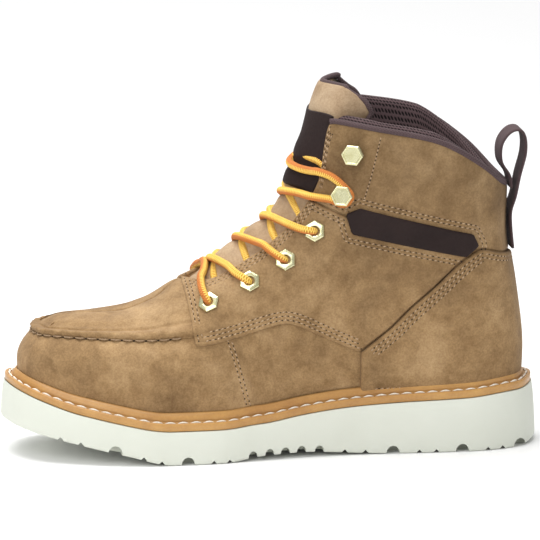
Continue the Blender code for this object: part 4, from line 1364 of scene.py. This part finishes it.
def build_welt_stitches():
    fine = [welt_top(ROUND * k / 900, STITCH_DEPTH, WELT_THICK + GAP - 0.0004) for k in range(0, 901, 6)]
    line = even_line(fine, 0.0005)
    last = len(line) - 1
    count = round(sum((b - a).length for a, b in zip(line, line[1:])) / WELT_STITCH)
    whole, holes = bmesh.new(), []

    def ahead(k):
        return (line[min(k + 2, last)] - line[max(k - 1, 0)]).normalized()

    arches = [math.sin(math.pi * k / 8) for k in range(9)]
    radii = [WELT_THREAD * (0.55 + 0.45 * arch) for arch in arches]
    for n in range(count):
        spots = []
        for k, arch in enumerate(arches):
            at = (n + 0.07 + 0.86 * k / 8) / count * last
            low = int(at)
            point = line[low].lerp(line[min(low + 1, last)], at - low)
            inward = UP.cross(ahead(low)).normalized()
            spots.append(point + UP * (0.0008 * arch - 0.0001) - inward * 0.0005 * (arch - 0.5))
        join(whole, tube(spots, radii, 6))
        at = int(n / count * last)
        holes.append((line[at], ahead(at), UP))
    piece("welt_stitches", whole, (CREAM_THREAD,))
    # Painted shade: dark beads where the welt's needle holes fall.
    piece("welt_hole_shade", grains(holes, 0.0010, 0.0010, 0.0005, -0.0001), (HOLE_SHADE,))


def build_moc_stitches():
    line = [(ROUND * k / 3000 % ROUND, MOC_LOW - 0.02) for k in range(-556, 557)]
    fine = [skin_point(t, v, 0.0) for t, v in line]
    marks = lengths_along(fine)
    whole, holes = bmesh.new(), []

    def at(distance):
        k, share = step_at(marks, distance)
        side, station = turn(1, line[k][0])
        ahead = (fine[k + 1] - fine[k]).normalized()
        return fine[k].lerp(fine[k + 1], share), ahead, normal(side, station, line[k][1])

    for n in range(int(marks[-1] / MOC_STITCH)):
        points = []
        for m in range(7):
            point, ahead, out = at((n + 0.12 + 0.76 * m / 6) * MOC_STITCH)
            down = out.cross(ahead)
            down = -down if down.z > 0 else down
            arch = math.sin(math.pi * m / 6)
            points.append(point + out * (0.0003 + 0.0004 * arch) + down * 0.0006 * arch)
        join(whole, tube(points, MOC_THREAD, 6))
        point, ahead, out = at(n * MOC_STITCH)
        holes.append((point - out * 0.0002, ahead, out))
    piece("moc_stitches", whole, (BROWN_THREAD,))
    # Painted shade: dark beads where the moc seam's needle holes fall.
    piece("moc_hole_shade", grains(holes, 0.0014, 0.0011, 0.0008), (HOLE_SHADE,))


# Tongue, collar and pull loop

TONGUE_COLUMNS, TONGUE_RIBS = 110, 44
PIPING_RADIUS = 0.0017
LABEL_PLACE = (8.62, 10.25)                     # stations where the tongue's label starts and ends
LACE_LINES = (6.08, 7.02, 7.64, 8.40, 9.16)     # stations where the lace presses the tongue in


def tongue_lift(s, w, back):
    """Padding of the tongue: full in the middle, thin at its sides and its top edge."""
    full = roll((2.0 - abs(w)) / 0.22) * roll((TONGUE_LAST - s) / 0.35)
    free = smooth((s - TONGUE_FREE + 0.5) / 1.0)
    if back:
        return -TONGUE_THICK * (0.42 + 0.58 * full) * (1 - 0.42 * smooth((s - 12.0) / 0.5))
    swell = 0.0009 * free
    if s < LACE_LINES[-1] + 0.5:
        pressed = max(math.exp(-((s - line) / 0.15) ** 2) for line in LACE_LINES)
        swell = max(swell, 0.0020 * (1 - pressed) * smooth(s - TONGUE_FIRST - 0.4)
                    * smooth((LACE_LINES[-1] + 0.5 - s) / 0.5))
    return -0.0022 * (1 - full) + swell * full * math.cos(w * math.pi / 4)


def on_soft_tongue(s, w, back=False):
    return on_tongue(min(max(s, TONGUE_FIRST), TONGUE_LAST), w, tongue_lift(s, w, back))


def piping(name, path, pitch):
    piece(name, tube(even_line(path, pitch), PIPING_RADIUS, 10, uv=(0.001, 0.001)), (PIPING,))


def build_tongue():
    ribs = [-2 + 4 * k / TONGUE_RIBS for k in range(TONGUE_RIBS + 1)]
    ring = [(w, False) for w in ribs] + [(w, True) for w in reversed(ribs)]

    def place(i, j):
        w, back = ring[j]
        return on_soft_tongue(TONGUE_FIRST + (TONGUE_LAST - TONGUE_FIRST) * i / TONGUE_COLUMNS, w, back)

    bm = skin(TONGUE_COLUMNS, len(ring), place, over=True, uv=(1.3, 1.6),
              finish_of=lambda i, j: 0 if j < TONGUE_RIBS else 1)
    tongue = piece("padded_tongue", bm, (SUEDE, LINING), ("tongue",))
    rising = (9.6, 10.2, 10.8, 11.4, 11.9, 12.2)
    path = [(s, -1.96) for s in rising]
    path += [(12.46, w) for w in (-1.6, -1.1, -0.55, 0.0, 0.55, 1.1, 1.6)]
    path += [(s, 1.96) for s in reversed(rising)]
    piping("tongue_piping", [on_soft_tongue(s, w) for s, w in path], 0.001)


def build_label():
    """Plain dark label sewn on the tongue, left without any words."""
    first, last = LABEL_PLACE
    bm = grid(40, 30)
    doubled(bm)
    for vert in bm.verts:
        along, across, face = vert.co
        s, w = first + (last - first) * along, 2 * across - 1
        rim = min(along, 1 - along, (across if across < 0.5 else 1 - across) * 0.8)
        height = 0.0002 if face < 0.5 else 0.0003 + 0.0008 * roll(rim / 0.04)
        vert.co = on_tongue(s, w, tongue_lift(s, w, False) + height)
    face_out(bm)
    piece("plain_tongue_label", bm, (PATCH,))


COLLAR_FIRST = 9.95
COLLAR_COLUMNS = 260


def on_collar(share):
    """Place on the way round the boot at a share of the collar."""
    return COLLAR_FIRST + 2 * (LAST - COLLAR_FIRST) * share


def collar_line(t, v, depth, rise):
    """Point in from the wall, and up along it."""
    side, station = turn(1, t)
    top = (wall(side, station, TOP) - wall(side, station, 3.9)).normalized()
    return lifted(side, station, v, -depth) + top * rise


def build_collar():
    near = WALL + GAP
    far = near + COLLAR_THICK
    ring = [(3.0 + k / 8, near, 0.0) for k in range(9)]
    for k in range(1, 12):
        angle = math.pi * (1 - k / 12)
        ring.append((TOP, near + COLLAR_THICK * (1 + math.cos(angle)) / 2, COLLAR_ROLL * math.sin(angle)))
    for k in range(12):
        v = TOP - k / 11
        ring.append((v, far - COLLAR_THICK * 0.7 * smooth((3.35 - v) / 0.35), 0.0))

    def place(i, j):
        v, depth, rise = ring[j]
        end = roll(min(i, COLLAR_COLUMNS - i) / 6)
        full = near + (depth - near) * (0.25 + 0.75 * end)
        return collar_line(on_collar(i / COLLAR_COLUMNS), v, full, rise * (0.4 + 0.6 * end))

    across = [0.0]
    for j in range(len(ring)):
        step = place(COLLAR_COLUMNS // 2, (j + 1) % len(ring)) - place(COLLAR_COLUMNS // 2, j)
        across.append(across[-1] + step.length * 1000)

    def on_map(i, j):
        """Place on the map in about millimetres, slanting along the collar."""
        return (i * 1.15 + across[j] * 0.5, across[j] * 0.95)

    bm = skin(COLLAR_COLUMNS, len(ring), place, over=True, uv=on_map)
    collar = piece("padded_collar", bm, (LINING,), ("collar_lining",))
    path = [collar_line(on_collar(k / 60), TOP, -0.0002, 0.0011) for k in range(61)]
    piping("collar_piping", path, 0.0012)


def build_loop():
    back = wall(1, HEEL, TOP)
    points = [Vector((back.x + x, 0, back.z + z)) for x, z in LOOP_START]
    over_sole = back.z - wall(1, HEEL, 0.0).z
    for share in (0.4, 0.65, 1.0):
        row = row_at(1, HEEL, over_sole - LOOP_TAIL * share)
        points.append(lifted(1, HEEL, row, SHAFT_THICK + 3 * GAP + LOOP_THICK / 2))
    line = even_line(points, 0.0012)
    count, across = len(line) - 1, 14
    ring = [(1 - 2 * k / across, 1) for k in range(across + 1)]
    ring += [(-w, -side) for w, side in ring]

    def place(i, j):
        along = line[min(i + 1, count)] - line[max(i - 1, 0)]
        out = Vector((-along.z, 0, along.x)).normalized()
        w, side = ring[j]
        half = LOOP_THICK / 2 * (0.45 + 0.55 * roll((1 - abs(w)) / 0.12))
        return line[i] + out * side * half + Vector((0, LOOP_WIDTH / 2 * w, 0))

    bm = skin(count, len(ring), place, over=True, uv=(0.0012, LOOP_WIDTH / across))
    piece("heel_pull_loop", bm, (WEBBING,), ("pull_loop",))


# Eyelets, hooks and lace

def hexagon(angle):
    """Radius of a hexagon of unit inner radius."""
    return 1 / math.cos(angle % (math.pi / 3) - math.pi / 6)


STUD_SIDES = 48


def stud(side, t, v, lift, profile, turned):
    """Metal piece from (radius, height, sixfold) rows, sixfold from 0 round to 1 hexagonal."""
    centre, axis = over_skin(side, t, v, lift), normal(side, t, v)
    right = UP.cross(axis).normalized()
    up = axis.cross(right)

    def place(i, j):
        angle = 2 * math.pi * i / STUD_SIDES
        radius, height, sixfold = profile[j]
        radius *= 1 + (hexagon(angle + math.pi / 6) - 1) * sixfold
        angle += turned
        return centre + (right * math.cos(angle) + up * math.sin(angle)) * radius + axis * height

    return place


def build_studs():
    bore, rim = EYELET_BORE / 2 * 1.12, EYELET_ACROSS / 2
    barrel = bore + BARREL_WALL
    under = -(QUARTER_THICK + WALL + 2 * GAP)
    eyelet = ((bore, under, 0), (bore, 0.0003, 0), (bore + 0.00015, EYELET_THICK * 0.85, 0),
              (bore + 0.0006, EYELET_THICK * 1.05, 0), (bore + 0.0011, EYELET_THICK, 0.3),
              (rim - 0.0008, EYELET_THICK * 0.92, 1), (rim - 0.0003, EYELET_THICK * 0.75, 1),
              (rim, EYELET_THICK * 0.35, 1), (rim, 0, 1), (barrel, 0, 0), (barrel, under, 0))
    neck, face = HOOK_RISE - HOOK_HEAD, HOOK_RISE
    hook = ((0, 0, 1), (rim * 0.9, 0, 1), (rim * 0.9, HOOK_BASE * 0.7, 1), (rim * 0.8, HOOK_BASE, 1),
            (bore * 0.95, HOOK_BASE, 0), (bore * 0.85, HOOK_BASE + 0.0004, 0),
            (bore * 0.85, neck - 0.0003, 0), (bore, neck, 0.2),
            (rim * 0.95, neck, 1), (rim, neck + 0.0003, 1), (rim, face - 0.0004, 1),
            (rim * 0.96, face - 0.0001, 1), (rim * 0.90, face, 1), (rim * 0.80, face - 0.0001, 1),
            (rim * 0.76, face - 0.0004, 1), (0, face - 0.0004, 1))
    kinds = (("eyelet", EYELETS, QUARTER_THICK, eyelet, len(eyelet), 0.04, True),
             ("hook", HOOKS, SHAFT_THICK, hook, len(hook) - 1, 0.45, False))
    for side, where in ((1, "outer"), (-1, "inner")):
        for kind, places, panel, profile, rows, turned, over in kinds:
            for k, (t, v) in enumerate(places, 1):
                place = stud(side, t, v, panel + 2 * GAP, profile, turned)
                made = piece(f"hex_{kind}_{where}_{k}", skin(STUD_SIDES, rows, place, True, over), (GOLD,),
                             (f"{kind}_{where}_{k}",))
                made.data.set_sharp_from_angle(angle=math.radians(32))


# The lace's runs from one side to the other: places on the tongue as station and share across, from the
# throat's edge that it comes out under, then places on the side that it runs to, as station and row
LACE_BAR = (((5.97, 0.0), (5.95, 0.28), (5.91, 0.62)),
            ((5.87, 4.0), (5.87, 3.75), (5.91, 3.45), (6.02, 3.12)))
LACE_RUNS = (
    (((6.17, -1.0), (6.13, -0.62), (6.10, -0.25), (6.14, 0.05), (6.27, 0.32), (6.42, 0.56)),
     ((6.57, 4.0), (6.72, 3.5), (6.87, 3.2))),
    (((6.86, -1.0), (6.90, -0.65), (6.94, -0.3), (7.0, 0.0), (7.1, 0.4), (7.22, 0.73)),
     ((7.31, 4.0), (7.42, 3.7), (7.58, 3.36))),
    (((7.50, -1.0), (7.53, -0.65), (7.58, -0.3), (7.62, 0.0), (7.7, 0.4), (7.8, 0.8)),
     ((7.87, 4.0), (8.18, 3.6), (8.4, 3.42))),
    (((8.13, -1.0), (8.2, -0.65), (8.3, -0.3), (8.38, 0.0), (8.47, 0.4), (8.55, 0.75)),
     ((8.63, 4.0), (9.02, 3.68), (9.38, 3.38))),
)
LACE_LAST = (((9.10, 0.77), (9.08, 0.45), (9.12, 0.12), (9.19, -0.15), (9.24, -0.42), (9.25, -0.8),
              (9.22, -1.15), (9.20, -1.5)), ((9.64, 3.5), (9.17, 4.0)))
HUMP = 0.0030             # how far the outer side's run lies over the other one where they cross
HOOK_TURN = 0.0050        # radius of the lace's turn round the hook


def over_tongue(side, places):
    """Lace lying on the tongue. A run to the outer side lies over the other one."""
    points = []
    for s, w in places:
        clear = LACE / 2 - 0.0018
        if side > 0:
            clear += HUMP * math.exp(-((w - 0.2) / 0.35) ** 2)
        else:
            clear -= 0.0012 * math.exp(-((w + 0.2) / 0.35) ** 2)
            s += 0.12 * math.exp(-((w - 0.1) / 0.45) ** 2)
        clear += 0.0044 * smooth(w / 0.75) if w > 0 else -0.0010 * smooth((abs(w) - 0.8) / 0.25)
        points.append(on_tongue(s, w * side, clear))
    return points


def over_side(side, places, lift):
    """Lace lying on the leather of a side."""
    return [over_skin(side, t, v, lift) for t, v in places]


def lace_half(side):
    """Half of the lace, from the middle of the lowest bar to its end behind the collar. It starts in the
    eyelet of one side and changes sides at each run."""
    under = -WALL - LACE * 0.5
    on_quarter = QUARTER_THICK + GAP + LACE / 2
    on_shaft = SHAFT_THICK + 2 * GAP + LACE / 2
    behind = 0.0 if side > 0 else 0.16
    points = [on_tongue(s + behind * w, w * side, LACE / 2 + 0.0006 + 0.003 * smooth(w))
              for s, w in LACE_BAR[0]]
    points += over_side(side, [(t + behind, v) for t, v in LACE_BAR[1]], on_quarter)
    here = side
    for (t, v), (first, second) in zip(EYELETS, LACE_RUNS):
        points += over_side(here, [(t, v)], 0.0005)
        points += over_side(here, [(t + 0.03, v + 0.12), (first[0][0], 3.75)], under)
        here = -here
        points += over_tongue(here, first)
        points += over_side(here, second, on_shaft if first is LACE_RUNS[-1][0] else on_quarter)
    t, v = HOOKS[0]
    seat = SHAFT_THICK + 2 * GAP + HOOK_BASE + LACE / 2 + 0.0001
    centre, axis = over_skin(here, t, v, seat), normal(here, t, v)
    back = (Vector((-1, 0, 0)) + axis * axis.x).normalized()
    up = UP - axis * axis.z
    up = (up - back * up.dot(back)).normalized()
    for angle in (-88, -55, -20, 12):
        turned = math.radians(angle)
        points.append(centre + (back * math.cos(turned) + up * math.sin(turned)) * HOOK_TURN)
    points += over_side(here, LACE_LAST[1], on_shaft)
    points += over_tongue(here, LACE_LAST[0])
    return points


def build_lace():
    line = even_line(lace_half(-1)[::-1][:-1] + lace_half(1), 0.0008)
    for _ in range(10):
        line = [line[0]] + [(a + b * 2 + c) / 4 for a, b, c in zip(line, line[1:], line[2:])] + [line[-1]]
    bm = tube(line, LACE / 2, 14, uv=(0.8, 1 / 14))
    nodes = ["lace_bar"] + [f"lace_cross_{k}" for k in range(1, len(EYELETS) + len(HOOKS))]
    piece("braided_lace", bm, (BRAID,), nodes)


def dress_insole():
    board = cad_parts["insole"]
    board.data.materials.clear()
    board.data.materials.append(BOARD)


for build in (build_upper, build_panels, build_sole, build_welt, build_welt_stitches, build_moc_stitches,
              build_tongue, build_label, build_collar, build_loop, build_studs, build_lace, dress_insole):
    build()


# Floor, light and camera

TARGET = Vector((0.1085, 0.0, 0.1011))
AZIMUTH, ELEVATION, DISTANCE = 172.0, 10.5, 4.5
PIXELS_PER_MM = 1.75
IMAGE = 540
SENSOR = 36.0
SKY = 0.50                # strength of the white world


# Lamps: place, size in metres, watts and where they point. The back one lights the floor behind the boot.
LAMPS = (
    ("key", (0.80, 1.0, 0.75), 0.9, 7.5, (0.15, 0, 0.05)),
    ("top", (0.35, -0.1, 1.4), 1.0, 22, TARGET),
    ("side", (-1.0, 0.8, 0.5), 0.7, 1.5, TARGET),
    ("back", (0.1, -2.6, 2.0), 1.6, 26, (0.1, -1.9, 0.0)),
)


def area_light(name, place, size, power, towards):
    light = bpy.data.lights.new(name, "AREA")
    light.shape, light.size, light.size_y = "RECTANGLE", size, size
    light.energy = power
    lamp = placed(name, light)
    lamp.location = place
    lamp.rotation_euler = (Vector(towards) - Vector(place)).to_track_quat("-Z", "Y").to_euler()


def build_stage():
    bm = bmesh.new()
    bmesh.ops.create_grid(bm, x_segments=4, y_segments=4, size=6)
    floor = placed("studio_floor", mesh_of("studio_floor", bm))
    floor.data.materials.append(clouded("pale floor", (0.86, 0.9), (2.0, 0.6), roughness=0.9))
    world = bpy.data.worlds.new("soft studio")
    world.use_nodes = True
    sky = world.node_tree.nodes["Background"].inputs
    sky["Color"].default_value = (1, 1, 1, 1)
    sky["Strength"].default_value = SKY
    bpy.context.scene.world = world
    bpy.context.scene.view_settings.view_transform = "Standard"
    for name, place, size, power, towards in LAMPS:
        area_light(name, place, size, power, towards)


def build_camera():
    azimuth, elevation = math.radians(AZIMUTH), math.radians(ELEVATION)
    back = Vector((math.sin(azimuth) * math.cos(elevation), -math.cos(azimuth) * math.cos(elevation),
                   math.sin(elevation)))
    data = bpy.data.cameras.new("camera")
    data.sensor_width = SENSOR
    data.sensor_fit = "AUTO"
    data.lens = SENSOR * DISTANCE / (IMAGE / PIXELS_PER_MM / 1000)
    data.clip_start, data.clip_end = 0.1, 50
    camera = placed("camera", data)
    camera.location = TARGET + back * DISTANCE
    camera.rotation_euler = (-back).to_track_quat("-Z", "Y").to_euler()
    bpy.context.scene.camera = camera


build_stage()
build_camera()
